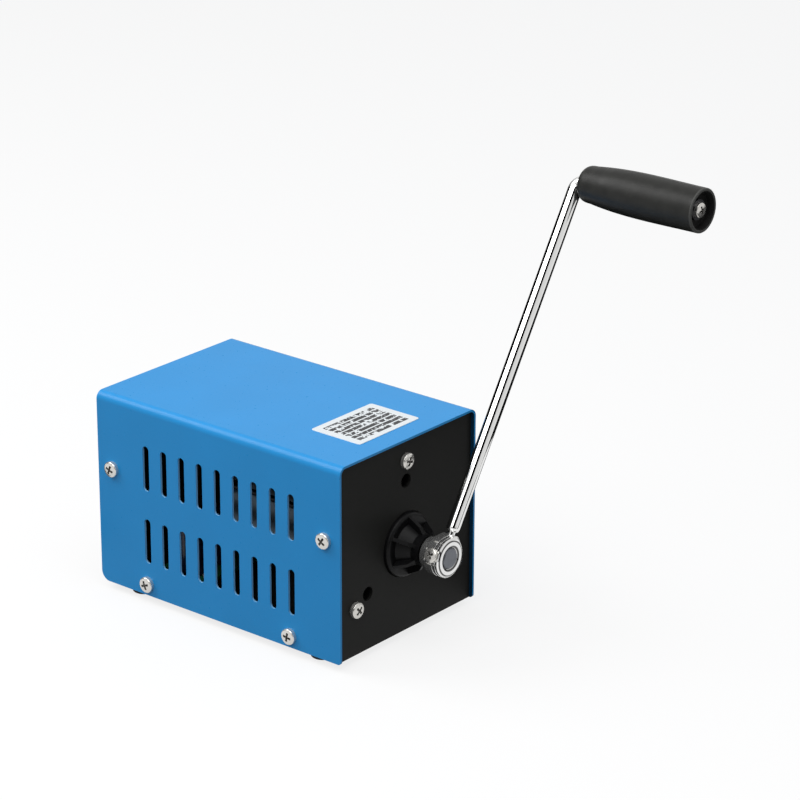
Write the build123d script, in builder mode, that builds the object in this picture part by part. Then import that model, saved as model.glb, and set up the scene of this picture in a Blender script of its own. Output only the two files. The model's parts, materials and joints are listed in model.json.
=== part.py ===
from build123d import *
import math
import os

os.makedirs("parts", exist_ok=True)

# Hand crank generator: a sheet-steel casing that holds a two-stage planetary gearbox and a small
# three-phase generator on one axis, turned by a crank. Millimetres, +Z up, the floor at Z = 0.
# The crank stands out of the front, towards -Y, and the outlets are in the rear panel.

# ---- Driving dimensions: casing ----
case_width = 100.0
case_length = 154.4
case_height = 99.0
cover_sheet = 1.2
cover_bend = 4.0
cover_rear_corner = 5.0
cover_front_corner = 1.5
chassis_sheet = 1.5
panel_inset = 2.0
flange_depth = 12.0
flange_low = 20.0
flange_length = 70.0
bottom_flange_depth = 25.0
base_flange_height = 12.0
base_flange_length = 112.0
slot_length = 23.4
slot_width = 4.0
slot_pitch = 11.56
slot_count = 9
slot_shift = -1.0
slot_row_pitch = 38.0
slot_middle_height = 47.7
label_length = 44.0
label_width = 30.0
label_thickness = 0.3
label_from_front = 26.7
label_corner = 1.5
cover_screw_height = 61.0
base_screw_height = 6.0
base_screw_spread = 92.0
foot_height = 4.0
foot_radius = 6.5
foot_taper = 0.6
foot_inset_x = 10.0
foot_inset_y = 19.2
foot_web = 1.6

# ---- Driving dimensions: fasteners ----
m4_radius = 2.0
m4_head_radius = 4.0
m4_head_height = 2.6
m4_length = 8.0
m3_radius = 1.5
m3_head_radius = 2.75
m3_head_height = 2.0
m3_nut_radius = 2.9
m3_nut_height = 2.4
thread_beyond_nut = 0.8
head_dome = 0.5
cross_slot = 1.1
cross_span = 0.56
cross_depth = 0.55

# ---- Driving dimensions: clearances ----
seat_gap = 0.02
running_gap = 0.05
screw_clearance = 0.2
panel_hole_gap = 0.3
side_play = 0.5

# ---- Driving dimensions: gearbox ----
axis_height = 44.6
mount_circle_radius = 42.4
lug_radius = 5.5
lug_length = 8.0
housing_radius = 36.0
end_wall = 5.0
rear_wall = 4.0
access_hole_radius = 3.5
case_screw_circle_radius = 32.2
case_screw_sink = 3.0
boss_rim_radius = 16.0
boss_rim = 2.5
boss_cone_radius = 11.0
boss_neck_radius = 7.6
boss_neck_start = 9.0
boss_length = 13.5
rib_count = 6
rib_thickness = 1.8
rib_reach = 14.6
tooth_module = 0.9
sun_teeth = 12
planet_teeth = 24
planet_count = 3
planet_start = 90.0
pressure_angle = 20.0
tooth_addendum = 0.8
tooth_dedendum = 1.12
tooth_thinning = 0.13
flank_steps = 3
gear_width = 7.0
ring_wall = 1.4
carrier_thickness = 3.0
carrier_rim = 4.0
pin_radius = 2.0
pin_overhang = 0.3
pilot_radius = 2.0
pilot_length = 5.0
shaft_radius = 5.0
shaft_flat = 0.8
bush_wall = 1.0
bush_length = 9.0
clip_thickness = 1.0
clip_groove = 0.4
clip_reach = 1.6
input_bearing_outer = 11.0
input_bearing_width = 6.0
input_ball_count = 11
rotor_bearing_outer = 8.5
rotor_bearing_width = 6.0
rotor_ball_count = 8
bearing_shield = 0.4
bearing_land = 0.27
bearing_groove = 0.06
cage_wall = 0.5
ball_gap = 0.1

# ---- Driving dimensions: generator ----
rotor_shaft_radius = 3.0
can_radius = 30.0
can_wall = 2.0
can_length = 50.0
bell_thickness = 4.0
bell_boss_radius = 11.5
stator_bore = 14.0
stator_length = 26.0
stator_yoke = 4.0
stator_teeth = 9
tooth_width = 5.0
pole_shoe = 2.0
pole_slit = 2.6
coil_thickness = 2.0
magnet_thickness = 2.5
magnet_count = 6
magnet_arc = 50.0
air_gap = 0.6
through_bolt_circle_radius = 32.6

# ---- Driving dimensions: crank ----
hub_gap = 0.5
collar_radius = 7.5
collar_length = 3.2
hub_groove = 0.8
hub_groove_radius = 6.6
eye_radius = 9.6
eye_thickness = 9.2
eye_nose = 8.0
eye_nose_radius = 2.8
eye_chamfer = 1.2
crank_lean = 32.0
crank_radius = 188.0
rod_radius = 3.4
rod_start = 12.4
rod_chamfer = 1.0
rod_bend = 4.4
neck_radius = 1.9
neck_depth = 4.0
spindle_radius = 3.0
spindle_shoulder = 0.8
grip_length = 67.4
grip_end_gap = 1.1
grip_inner_radius = 8.8
grip_middle_radius = 10.9
grip_outer_radius = 10.7
grip_flare = 8.0
grip_inner_round = 4.5
grip_rim = 1.6
grip_rim_round = 0.7
grip_dish = 4.0
grip_mouth_gap = 0.5
washer_thickness = 0.8
washer_radius = 5.0
grip_screw_head_radius = 3.7
grip_screw_head_height = 2.2
grip_screw_length = 12.0
set_screw_rise = 21.0
set_screw_radius = 2.0
set_screw_head_radius = 3.5
set_screw_head_height = 1.9

# ---- Driving dimensions: circuit board and rear panel ----
board_length = 76.0
board_front_gap = 5.2
board_rear_gap = 9.2
board_thickness = 1.6
board_rise = 8.0
board_hole_inset = 4.0
support_radius = 2.8
support_tip_radius = 1.6
capacitor_radius = 8.0
capacitor_height = 25.0
capacitor_pitch = 19.0
sink_length = 28.0
sink_width = 13.0
sink_height = 26.0
sink_fins = 6
sink_fin = 1.2
sink_base = 2.5
lead_radius = 1.0
lead_bend = 6.0
lead_inset = 2.5
meter_width = 46.0
meter_height = 27.0
meter_bezel = 2.0
meter_lip = 2.0
meter_depth = 14.0
meter_window_width = 36.0
meter_window_height = 15.0
meter_window_sink = 1.0
meter_up = 72.0
outlet_up = 33.0
outlet_pitch = 27.0
jack_radius = 5.5
jack_flange_radius = 7.5
jack_flange = 1.8
jack_depth = 14.0
jack_bore = 3.1
jack_bore_depth = 9.5
jack_pin_radius = 1.0
usb_width = 20.0
usb_height = 24.0
usb_bezel = 1.8
usb_lip = 1.6
usb_depth = 18.0
usb_pitch = 11.0
usb_port_width = 12.5
usb_port_height = 5.1
usb_port_depth = 12.0
usb_shell = 0.4
usb_tongue = 1.9
switch_width = 15.0
switch_height = 21.0
switch_bezel = 1.6
switch_lip = 1.2
switch_depth = 16.0
rocker_width = 9.6
rocker_height = 14.8
rocker_rise = 1.8
rocker_dip = 0.9
rocker_root = 3.6
rocker_pivot_radius = 1.0
rocker_pin = 0.8
rocker_tilt = 9.0
rocker_side_gap = 0.3
rocker_end_gap = 0.8

# ---- Positions worked out from the driving dimensions ----
case_bottom = foot_height
case_top = case_bottom + case_height
inner_width = case_width - 2 * cover_sheet
foot_spread_x = case_width - 2 * foot_inset_x
foot_spread_y = case_length - 2 * foot_inset_y
panel_face = case_length / 2 - panel_inset
panel_back = panel_face - chassis_sheet
base_top = case_bottom + chassis_sheet
axis_z = case_bottom + axis_height
screw_y = panel_back - flange_depth / 2

arm_x = math.sin(math.radians(crank_lean))
arm_z = math.cos(math.radians(crank_lean))
grip_x = crank_radius * arm_x
grip_z = crank_radius * arm_z

# Stations along the crank's axis: distances in front of the front panel, negative inside.
wall_front = -chassis_sheet
wall_back = wall_front - end_wall
first_carrier = wall_back - side_play
first_planets = first_carrier - carrier_thickness - side_play
middle_carrier_front = first_planets - gear_width - 2 * side_play
second_planets = middle_carrier_front - carrier_thickness - side_play
gearbox_back = second_planets - gear_width - 2 * side_play
generator_front = gearbox_back - rear_wall
generator_back = generator_front - can_length
bell_back = generator_back - bell_thickness
hub_back = boss_length + hub_gap
eye_back = hub_back + collar_length + hub_groove
hub_front = eye_back + eye_thickness
arm_station = eye_back + eye_thickness / 2
spindle_start = arm_station + rod_bend + spindle_shoulder
grip_start = spindle_start - grip_end_gap
grip_end = grip_start + grip_length
grip_floor = grip_end - grip_dish
spindle_end = grip_floor + side_play

# The circuit board fills the floor between the generator's back and the deepest outlet.
board_front = -panel_face - bell_back + board_front_gap
board_rear = panel_face - max(meter_depth, jack_depth, usb_depth, switch_depth) - board_rear_gap
board_width = board_rear - board_front
board_shift = (board_rear + board_front) / 2

# The origin is on the floor at the middle of the whole object's outline seen from above.
rocker_face = switch_bezel + rocker_rise
rocker_reach = (
    rocker_face * math.cos(math.radians(rocker_tilt))
    + rocker_height / 2 * math.sin(math.radians(rocker_tilt))
)
rear_reach = max(
    case_length / 2,
    panel_face + max(meter_bezel, jack_flange, usb_bezel, rocker_reach),
)
centre_x = (case_width / 2 + m4_head_height - grip_x - grip_outer_radius) / 2
centre_y = (grip_end - rear_reach + panel_face) / 2


def level(height):
    """Horizontal plane at a height over the floor, centred on the casing."""
    return Plane(origin=(centre_x, centre_y, height))


def station(distance):
    """Plane across the crank's axis that faces forward, its local y up."""
    return Plane(
        origin=(centre_x, centre_y - panel_face - distance, axis_z), x_dir=(1, 0, 0), z_dir=(0, -1, 0)
    )


def lengthways(x, z):
    """Plane for half profiles: local x runs sideways and local y runs forward from the panel."""
    return Plane(
        origin=(centre_x + x, centre_y - panel_face, axis_z + z), x_dir=(1, 0, 0), z_dir=(0, 0, -1)
    )


def outlet(distance, right=0.0, up=0.0):
    """Plane on the rear panel that faces backward, its local y up from the casing's lower edge."""
    return Plane(
        origin=(centre_x - right, centre_y + panel_face + distance, case_bottom + up),
        x_dir=(-1, 0, 0),
        z_dir=(0, 1, 0),
    )


def forward_axis(x=0.0, z=0.0):
    """Line parallel to the crank's axis, pointing forward."""
    return Axis((centre_x + x, centre_y, axis_z + z), (0, -1, 0))


front_panel_plane = Plane(
    origin=(centre_x, centre_y - panel_face, case_bottom), x_dir=(1, 0, 0), z_dir=(0, -1, 0)
)
side_plane = Plane(origin=(centre_x, centre_y, case_bottom), x_dir=(0, 1, 0), z_dir=(1, 0, 0))


def save(piece, name):
    """Labels a finished piece and writes it as a file of the same name."""
    piece.part.label = name
    export_step(piece.part, f"parts/{name}.step")


# ---- Shared forms ----
def pan_screw(radius, length, head_radius, head_height):
    """Cross-head pan screw along Z: its domed head stands on Z = 0 and its shank hangs below."""
    dome = head_height * head_dome
    dome_radius = (head_radius**2 + dome**2) / (2 * dome)
    with BuildPart() as screw:
        with BuildSketch(Plane.XZ):
            with BuildLine():
                Polyline((0, head_height), (0, -length), (radius, -length), (radius, 0), (head_radius, 0))
                Line((head_radius, 0), (head_radius, head_height - dome))
                RadiusArc((head_radius, head_height - dome), (0, head_height), -dome_radius)
            make_face()
        revolve(axis=Axis.Z)
        with BuildSketch(Plane.XY.offset(head_height)):
            Rectangle(2 * head_radius * cross_span, cross_slot)
            Rectangle(cross_slot, 2 * head_radius * cross_span)
        extrude(amount=-head_height * cross_depth, mode=Mode.SUBTRACT)
    return screw.part


def hex_nut(radius, bore, height):
    """Hexagonal nut that stands on Z = 0."""
    with BuildPart() as nut:
        with BuildSketch(Plane.XY):
            RegularPolygon(radius, 6, major_radius=False)
            Circle(bore + seat_gap, mode=Mode.SUBTRACT)
        extrude(amount=height)
    return nut.part


def tooth_points(teeth, above, below, extra):
    """Involute outline of a toothed wheel with a tooth on local +X.

    The half angle that a tooth fills at radius r is its half thickness over the pitch radius,
    plus inv(pressure angle), minus inv(acos(base radius / r)), where inv(a) = tan(a) - a.
    """
    pitch_radius = tooth_module * teeth / 2
    base_radius = pitch_radius * math.cos(math.radians(pressure_angle))
    half_angle = (math.pi * tooth_module / 2 + extra) / (2 * pitch_radius)

    def involute(radius):
        angle = math.acos(min(1.0, base_radius / radius))
        return math.tan(angle) - angle

    low = pitch_radius - below * tooth_module
    high = pitch_radius + above * tooth_module
    radii = [low + (high - low) * step / flank_steps for step in range(flank_steps + 1)]
    flank = [(r, half_angle + involute(pitch_radius) - involute(r)) for r in radii]
    points = []
    for tooth in range(teeth):
        middle = 2 * math.pi * tooth / teeth
        for r, half in flank:
            points.append((r * math.cos(middle - half), r * math.sin(middle - half)))
        for r, half in reversed(flank):
            points.append((r * math.cos(middle + half), r * math.sin(middle + half)))
    return points


def wheel(teeth, bore):
    """Spur gear that stands on Z = 0, one gear width high, with a round bore."""
    with BuildPart() as gear:
        with BuildSketch(Plane.XY):
            with BuildLine():
                Polyline(*tooth_points(teeth, tooth_addendum, tooth_dedendum, -tooth_thinning), close=True)
            make_face()
            Circle(bore, mode=Mode.SUBTRACT)
        extrude(amount=gear_width)
    return gear.part


def bearing_rings(bore, outer, width):
    """Radii that a ball bearing's rings leave between them, and its balls' radius and circle."""
    ring_thickness = (outer - bore) * bearing_land
    inner_land = bore + ring_thickness
    outer_land = outer - ring_thickness
    ball_circle = (inner_land + outer_land) / 2
    ball = (outer_land - inner_land) / 2 + width * bearing_groove - ball_gap
    return inner_land, outer_land, ball_circle, ball


def bearing_outer_ring(bore, outer, width):
    """Outer ring with its groove and two shields, standing on Z = 0."""
    inner_land, outer_land, ball_circle, ball = bearing_rings(bore, outer, width)
    with BuildPart() as ring:
        with BuildSketch(Plane.XZ):
            with Locations(((outer_land + outer) / 2, width / 2)):
                Rectangle(outer - outer_land, width)
            with Locations((ball_circle, width / 2)):
                Circle(ball + ball_gap, mode=Mode.SUBTRACT)
            with Locations((outer_land, 0), (outer_land, width - bearing_shield)):
                Rectangle(
                    outer_land - inner_land - side_play, bearing_shield, align=(Align.MAX, Align.MIN)
                )
        revolve(axis=Axis.Z)
    return ring.part


def bearing_inner_ring(bore, outer, width):
    """Inner ring with its groove, standing on Z = 0."""
    inner_land, outer_land, ball_circle, ball = bearing_rings(bore, outer, width)
    with BuildPart() as ring:
        with BuildSketch(Plane.XZ):
            with Locations(((inner_land + bore) / 2, width / 2)):
                Rectangle(inner_land - bore, width)
            with Locations((ball_circle, width / 2)):
                Circle(ball + ball_gap, mode=Mode.SUBTRACT)
        revolve(axis=Axis.Z)
    return ring.part


def bearing_cage(bore, outer, width, count):
    """Balls in a thin pierced cage, standing on Z = 0."""
    inner_land, outer_land, ball_circle, ball = bearing_rings(bore, outer, width)
    with BuildPart() as cage:
        with BuildSketch(Plane.XY.offset(width / 2)):
            Circle(ball_circle + cage_wall / 2)
            Circle(ball_circle - cage_wall / 2, mode=Mode.SUBTRACT)
        extrude(amount=ball + ball_gap + cage_wall, both=True)
        with Locations(Plane.XY.offset(width / 2)):
            with PolarLocations(ball_circle, count):
                Cylinder(ball + ball_gap, 2 * cage_wall, rotation=(0, 90, 0), mode=Mode.SUBTRACT)
                Sphere(ball)
    return cage.part


# ---- Casing ----
cover_screw_spots = [(side * screw_y, cover_screw_height) for side in (-1, 1)]
base_screw_spots = [(side * base_screw_spread / 2, base_screw_height) for side in (-1, 1)]
side_spots = cover_screw_spots + base_screw_spots
foot_spots = GridLocations(foot_spread_x, foot_spread_y, 2, 2).locations

with BuildPart() as top_cover:
    with BuildSketch(level(case_bottom)):
        Rectangle(case_width, case_length)
    extrude(amount=case_height)
    fillet(top_cover.edges().filter_by(Axis.Y).group_by(Axis.Z)[-1], cover_bend)
    with BuildSketch(level(case_bottom)):
        Rectangle(inner_width, case_length)
    extrude(amount=case_height - cover_sheet, mode=Mode.SUBTRACT)
    fillet(top_cover.edges().filter_by(Axis.Y).group_by(Axis.Z)[-2], cover_bend - cover_sheet)
    lower_corners = top_cover.edges().filter_by(Axis.X).group_by(Axis.Z)[0]
    fillet(lower_corners.group_by(Axis.Y)[-1], cover_rear_corner)
    lower_corners = top_cover.edges().filter_by(Axis.X).group_by(Axis.Z)[0]
    fillet(lower_corners.group_by(Axis.Y)[0], cover_front_corner)
    with BuildSketch(side_plane):
        with Locations((slot_shift, slot_middle_height)):
            with GridLocations(slot_pitch, slot_row_pitch, slot_count, 2):
                SlotOverall(slot_length, slot_width, rotation=90)
        with Locations(*side_spots):
            Circle(m4_radius + screw_clearance)
    extrude(amount=case_width, both=True, mode=Mode.SUBTRACT)
save(top_cover, "top_cover")

with BuildPart() as label_plate:
    with BuildSketch(level(case_top)):
        with Locations((0, -case_length / 2 + label_from_front)):
            RectangleRounded(label_length, label_width, label_corner)
    extrude(amount=label_thickness)
save(label_plate, "label_plate")

flange_x = inner_width / 2 - seat_gap - chassis_sheet / 2
with BuildPart() as base_plate:
    with BuildSketch(level(case_bottom)):
        Rectangle(inner_width - 2 * seat_gap, 2 * (panel_back - seat_gap))
    extrude(amount=chassis_sheet)
    with BuildSketch(level(case_bottom)):
        with Locations((-flange_x, 0), (flange_x, 0)):
            Rectangle(chassis_sheet, base_flange_length)
    extrude(amount=base_flange_height)
    with BuildSketch(side_plane):
        with Locations(*base_screw_spots):
            Circle(m4_radius + screw_clearance)
    extrude(amount=case_width, both=True, mode=Mode.SUBTRACT)
    with BuildSketch(level(case_bottom)):
        with Locations(*foot_spots):
            Circle(m3_radius + screw_clearance)
        with Locations((0, board_shift)):
            with GridLocations(
                board_length - 2 * board_hole_inset, board_width - 2 * board_hole_inset, 2, 2
            ):
                Circle(m3_radius + screw_clearance)
    extrude(amount=chassis_sheet, mode=Mode.SUBTRACT)
save(base_plate, "base_plate")


def end_panel():
    """Folded end panel: its outer face on XY, its lower edge along X, flanges folded to -Z."""
    panel_height = case_height - cover_sheet - seat_gap
    with BuildPart() as panel:
        with BuildSketch(Plane.XY):
            Rectangle(inner_width - 2 * seat_gap, panel_height, align=(Align.CENTER, Align.MIN))
        extrude(amount=-chassis_sheet)
        fillet(panel.edges().filter_by(Axis.Z).group_by(Axis.Y)[-1], cover_bend)
        with BuildSketch(Plane.XY.offset(-chassis_sheet)):
            with Locations((-flange_x, flange_low), (flange_x, flange_low)):
                Rectangle(chassis_sheet, flange_length, align=(Align.CENTER, Align.MIN))
        extrude(amount=-flange_depth)
        with BuildSketch(Plane.XY.offset(-chassis_sheet)):
            with Locations((0, chassis_sheet)):
                Rectangle(
                    2 * (flange_x - 2 * chassis_sheet), chassis_sheet, align=(Align.CENTER, Align.MIN)
                )
        extrude(amount=-bottom_flange_depth)
        with BuildSketch(Plane.YZ):
            with Locations((cover_screw_height, screw_y - panel_face)):
                Circle(m4_radius + screw_clearance)
        extrude(amount=case_width, both=True, mode=Mode.SUBTRACT)
        with BuildSketch(Plane.XZ):
            with Locations(
                (-foot_spread_x / 2, foot_spread_y / 2 - panel_face),
                (foot_spread_x / 2, foot_spread_y / 2 - panel_face),
            ):
                Circle(m3_radius + screw_clearance)
        extrude(amount=-panel_height / 2, mode=Mode.SUBTRACT)
    return panel.part


end_blank = end_panel()
with BuildPart() as front_plate:
    with Locations(front_panel_plane):
        add(end_blank)
    with BuildSketch(station(0)):
        Circle(boss_rim_radius + panel_hole_gap)
        with PolarLocations(mount_circle_radius, planet_count, planet_start):
            Circle(m4_radius + screw_clearance)
        with PolarLocations(case_screw_circle_radius, planet_count, planet_start):
            Circle(access_hole_radius)
    extrude(amount=-chassis_sheet, mode=Mode.SUBTRACT)
save(front_plate, "front_plate")

with BuildPart() as rear_plate:
    with Locations(outlet(0)):
        add(end_blank)
    with BuildSketch(outlet(0)):
        with Locations((0, meter_up)):
            Rectangle(meter_width - 2 * meter_lip, meter_height - 2 * meter_lip)
        with Locations((-outlet_pitch, outlet_up)):
            Rectangle(usb_width - 2 * usb_lip, usb_height - 2 * usb_lip)
        with Locations((0, outlet_up)):
            Circle(jack_radius + panel_hole_gap)
        with Locations((outlet_pitch, outlet_up)):
            Rectangle(switch_width - 2 * switch_lip, switch_height - 2 * switch_lip)
    extrude(amount=-chassis_sheet, mode=Mode.SUBTRACT)
save(rear_plate, "rear_plate")

# ---- Fasteners and feet ----
left_side = Plane(
    origin=(centre_x - case_width / 2, centre_y, case_bottom), x_dir=(0, -1, 0), z_dir=(-1, 0, 0)
)
right_side = Plane(
    origin=(centre_x + case_width / 2, centre_y, case_bottom), x_dir=(0, 1, 0), z_dir=(1, 0, 0)
)
m4_screw = pan_screw(m4_radius, m4_length, m4_head_radius, m4_head_height)
with BuildPart() as case_screws:
    for side in (left_side, right_side):
        with Locations(side):
            with Locations(*side_spots):
                add(m4_screw)
    with Locations(station(0)):
        with PolarLocations(mount_circle_radius, planet_count, planet_start, rotate=False):
            add(m4_screw)
save(case_screws, "case_screws")

foot_recess = foot_height - foot_web
with BuildPart() as rubber_feet:
    with BuildSketch(level(case_bottom)):
        with Locations(*foot_spots):
            Circle(foot_radius)
    extrude(amount=-foot_height, taper=math.degrees(math.atan(foot_taper / foot_height)))
    with BuildSketch(level(0)):
        with Locations(*foot_spots):
            Circle(m3_head_radius + panel_hole_gap)
    extrude(amount=foot_recess, mode=Mode.SUBTRACT)
    with BuildSketch(level(0)):
        with Locations(*foot_spots):
            Circle(m3_radius + screw_clearance)
    extrude(amount=foot_height, mode=Mode.SUBTRACT)
save(rubber_feet, "rubber_feet")

foot_stack = foot_web + 2 * chassis_sheet
m3_foot_screw = pan_screw(
    m3_radius, foot_stack + m3_nut_height + thread_beyond_nut, m3_head_radius, m3_head_height
)
with BuildPart() as foot_screws:
    with Locations(
        Plane(origin=(centre_x, centre_y, foot_recess), x_dir=(1, 0, 0), z_dir=(0, 0, -1))
    ):
        with Locations(*foot_spots):
            add(m3_foot_screw)
save(foot_screws, "foot_screws")

m3_nut = hex_nut(m3_nut_radius, m3_radius, m3_nut_height)
with BuildPart() as foot_nuts:
    with Locations(level(foot_recess + foot_stack)):
        with Locations(*foot_spots):
            add(m3_nut)
save(foot_nuts, "foot_nuts")

# ---- Gearbox housing ----
ring_teeth = sun_teeth + 2 * planet_teeth
ring_root = tooth_module * (ring_teeth / 2 + tooth_dedendum)
ring_outer = ring_root + ring_wall
carrier_circle = tooth_module * (sun_teeth + planet_teeth) / 2
bush_radius = shaft_radius + bush_wall
bearing_front = wall_back + input_bearing_width
clip_radius = shaft_radius + clip_reach

with BuildPart() as boss_rib:
    with BuildSketch(lengthways(0, 0)):
        Polygon(
            (shaft_radius, boss_rim / 2),
            (rib_reach, boss_rim / 2),
            (rib_reach, boss_rim),
            (boss_cone_radius, boss_neck_start),
            (boss_neck_radius, boss_length - boss_rim),
            (shaft_radius, boss_length - boss_rim),
            align=None,
        )
    extrude(amount=rib_thickness / 2, both=True)
rib_at_axis = boss_rib.part.moved(station(0).location.inverse())

with BuildPart() as gearbox_housing:
    with BuildSketch(station(wall_front)):
        with PolarLocations(mount_circle_radius / 2, planet_count, planet_start):
            Rectangle(mount_circle_radius, 2 * lug_radius)
        with PolarLocations(mount_circle_radius, planet_count, planet_start):
            Circle(lug_radius)
    extrude(amount=-lug_length)
    with BuildSketch(station(wall_front)):
        Circle(housing_radius)
    extrude(amount=gearbox_back - wall_front)
    with BuildSketch(station(wall_back)):
        Circle(ring_outer + seat_gap)
    extrude(amount=gearbox_back - wall_back, mode=Mode.SUBTRACT)
    with BuildSketch(lengthways(0, 0)):
        with BuildLine():
            Polyline(
                (0, wall_front),
                (boss_rim_radius, wall_front),
                (boss_rim_radius, boss_rim),
                (boss_cone_radius, boss_rim),
                (boss_neck_radius, boss_neck_start),
                (boss_neck_radius, boss_length),
                (0, boss_length),
                close=True,
            )
        make_face()
    revolve(axis=forward_axis())
    rim_edge = gearbox_housing.edges().filter_by(GeomType.CIRCLE).filter_by(
        lambda edge: abs(edge.radius - boss_rim_radius) < seat_gap
    )
    fillet(rim_edge.sort_by(Axis.Y)[0], boss_rim * 0.7)
    with Locations(station(0)):
        with PolarLocations(0, rib_count, planet_start):
            add(rib_at_axis)
    with BuildSketch(station(boss_length)):
        Circle(shaft_radius + running_gap)
    extrude(amount=wall_back - boss_length, mode=Mode.SUBTRACT)
    with BuildSketch(station(boss_length)):
        Circle(bush_radius + seat_gap)
    extrude(amount=-bush_length, mode=Mode.SUBTRACT)
    with BuildSketch(station(bearing_front)):
        Circle(clip_radius + side_play)
    extrude(amount=clip_thickness + side_play, mode=Mode.SUBTRACT)
    with BuildSketch(station(bearing_front)):
        Circle(input_bearing_outer + seat_gap)
    extrude(amount=-input_bearing_width, mode=Mode.SUBTRACT)
    with BuildSketch(station(wall_front)):
        with PolarLocations(mount_circle_radius, planet_count, planet_start):
            Circle(m4_radius + seat_gap)
    extrude(amount=-lug_length, mode=Mode.SUBTRACT)
    with BuildSketch(station(wall_front)):
        with PolarLocations(case_screw_circle_radius, planet_count, planet_start):
            Circle(access_hole_radius)
    extrude(amount=-case_screw_sink, mode=Mode.SUBTRACT)
    with BuildSketch(station(wall_front)):
        with PolarLocations(case_screw_circle_radius, planet_count, planet_start):
            Circle(m3_radius + screw_clearance)
    extrude(amount=gearbox_back - wall_front, mode=Mode.SUBTRACT)
save(gearbox_housing, "gearbox_housing")

with BuildPart() as shaft_bush:
    with BuildSketch(station(boss_length)):
        Circle(bush_radius)
        Circle(shaft_radius + running_gap, mode=Mode.SUBTRACT)
    extrude(amount=-bush_length)
save(shaft_bush, "shaft_bush")

with BuildPart() as ring_gear:
    with BuildSketch(station(wall_back)):
        Circle(ring_outer)
        with BuildSketch(mode=Mode.PRIVATE) as ring_space:
            with BuildLine():
                Polyline(
                    *tooth_points(ring_teeth, tooth_dedendum, tooth_addendum, tooth_thinning), close=True
                )
            make_face()
        add(ring_space.sketch, rotation=planet_start, mode=Mode.SUBTRACT)
    extrude(amount=gearbox_back - wall_back)
save(ring_gear, "ring_gear")

rotor_seat = generator_front - rotor_bearing_width + rear_wall / 2
with BuildPart() as gearbox_cover:
    with BuildSketch(station(gearbox_back)):
        Circle(housing_radius)
    extrude(amount=-rear_wall)
    with BuildSketch(station(generator_front)):
        Circle(bell_boss_radius)
    extrude(amount=rotor_seat - generator_front)
    with BuildSketch(station(rotor_seat)):
        Circle(rotor_bearing_outer + seat_gap)
    extrude(amount=rotor_bearing_width, mode=Mode.SUBTRACT)
    with BuildSketch(station(gearbox_back)):
        Circle(rotor_bearing_outer - side_play * 2)
        with PolarLocations(case_screw_circle_radius, planet_count, planet_start):
            Circle(m3_radius + seat_gap)
        with PolarLocations(through_bolt_circle_radius, planet_count, planet_start + 180 / planet_count):
            Circle(m3_radius + seat_gap)
    extrude(amount=-rear_wall, mode=Mode.SUBTRACT)
save(gearbox_cover, "gearbox_cover")

case_screw_head = wall_front - case_screw_sink
m3_case_screw = pan_screw(
    m3_radius, case_screw_head - generator_front, m3_head_radius, m3_head_height
)
with BuildPart() as gearbox_case_screws:
    with Locations(station(case_screw_head)):
        with PolarLocations(case_screw_circle_radius, planet_count, planet_start):
            add(m3_case_screw)
save(gearbox_case_screws, "gearbox_case_screws")

# ---- Crank shaft and its bearings ----
shaft_back = first_planets + side_play
with BuildPart() as input_shaft:
    with BuildSketch(station(hub_front)):
        Circle(shaft_radius)
    extrude(amount=shaft_back - hub_front)
    with BuildSketch(station(shaft_back)):
        Circle(pilot_radius + running_gap)
    extrude(amount=pilot_length + side_play, mode=Mode.SUBTRACT)
    with BuildSketch(station(bearing_front)):
        Circle(shaft_radius)
        Circle(shaft_radius - clip_groove, mode=Mode.SUBTRACT)
    extrude(amount=clip_thickness, mode=Mode.SUBTRACT)
    with BuildSketch(station(hub_back)):
        with PolarLocations(shaft_radius - shaft_flat, 1, 180 - set_screw_rise):
            Rectangle(shaft_flat, 2 * shaft_radius, align=(Align.MIN, Align.CENTER))
    extrude(amount=arm_station + set_screw_head_radius - hub_back, mode=Mode.SUBTRACT)
    with BuildSketch(station(first_carrier)):
        with Locations((-shaft_radius, 0)):
            Rectangle(shaft_flat, 2 * shaft_radius, align=(Align.MIN, Align.CENTER))
    extrude(amount=-carrier_thickness, mode=Mode.SUBTRACT)
    chamfer(input_shaft.edges().filter_by(GeomType.CIRCLE).sort_by(Axis.Y)[0], clip_groove)
save(input_shaft, "input_shaft")

with BuildPart() as shaft_clip:
    with BuildSketch(station(bearing_front)):
        Circle(clip_radius)
        Circle(shaft_radius - clip_groove + seat_gap, mode=Mode.SUBTRACT)
        with Locations((0, -shaft_radius)):
            Rectangle(shaft_radius, 2 * shaft_radius - clip_reach, mode=Mode.SUBTRACT)
    extrude(amount=clip_thickness)
save(shaft_clip, "shaft_clip")

input_bearing = (shaft_radius + seat_gap, input_bearing_outer, input_bearing_width)
with BuildPart() as input_bearing_outer_ring:
    with Locations(station(wall_back)):
        add(bearing_outer_ring(*input_bearing))
save(input_bearing_outer_ring, "input_bearing_outer_ring")

with BuildPart() as input_bearing_inner_ring:
    with Locations(station(wall_back)):
        add(bearing_inner_ring(*input_bearing))
save(input_bearing_inner_ring, "input_bearing_inner_ring")

with BuildPart() as input_bearing_balls:
    with Locations(station(wall_back)):
        add(bearing_cage(*input_bearing, input_ball_count))
save(input_bearing_balls, "input_bearing_balls")

# ---- Planetary gears ----
carrier_radius = carrier_circle + carrier_rim
gap_turn = 180 / sun_teeth * (1 - planet_teeth % 2)
pin_length = carrier_thickness + side_play + gear_width + pin_overhang

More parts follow.
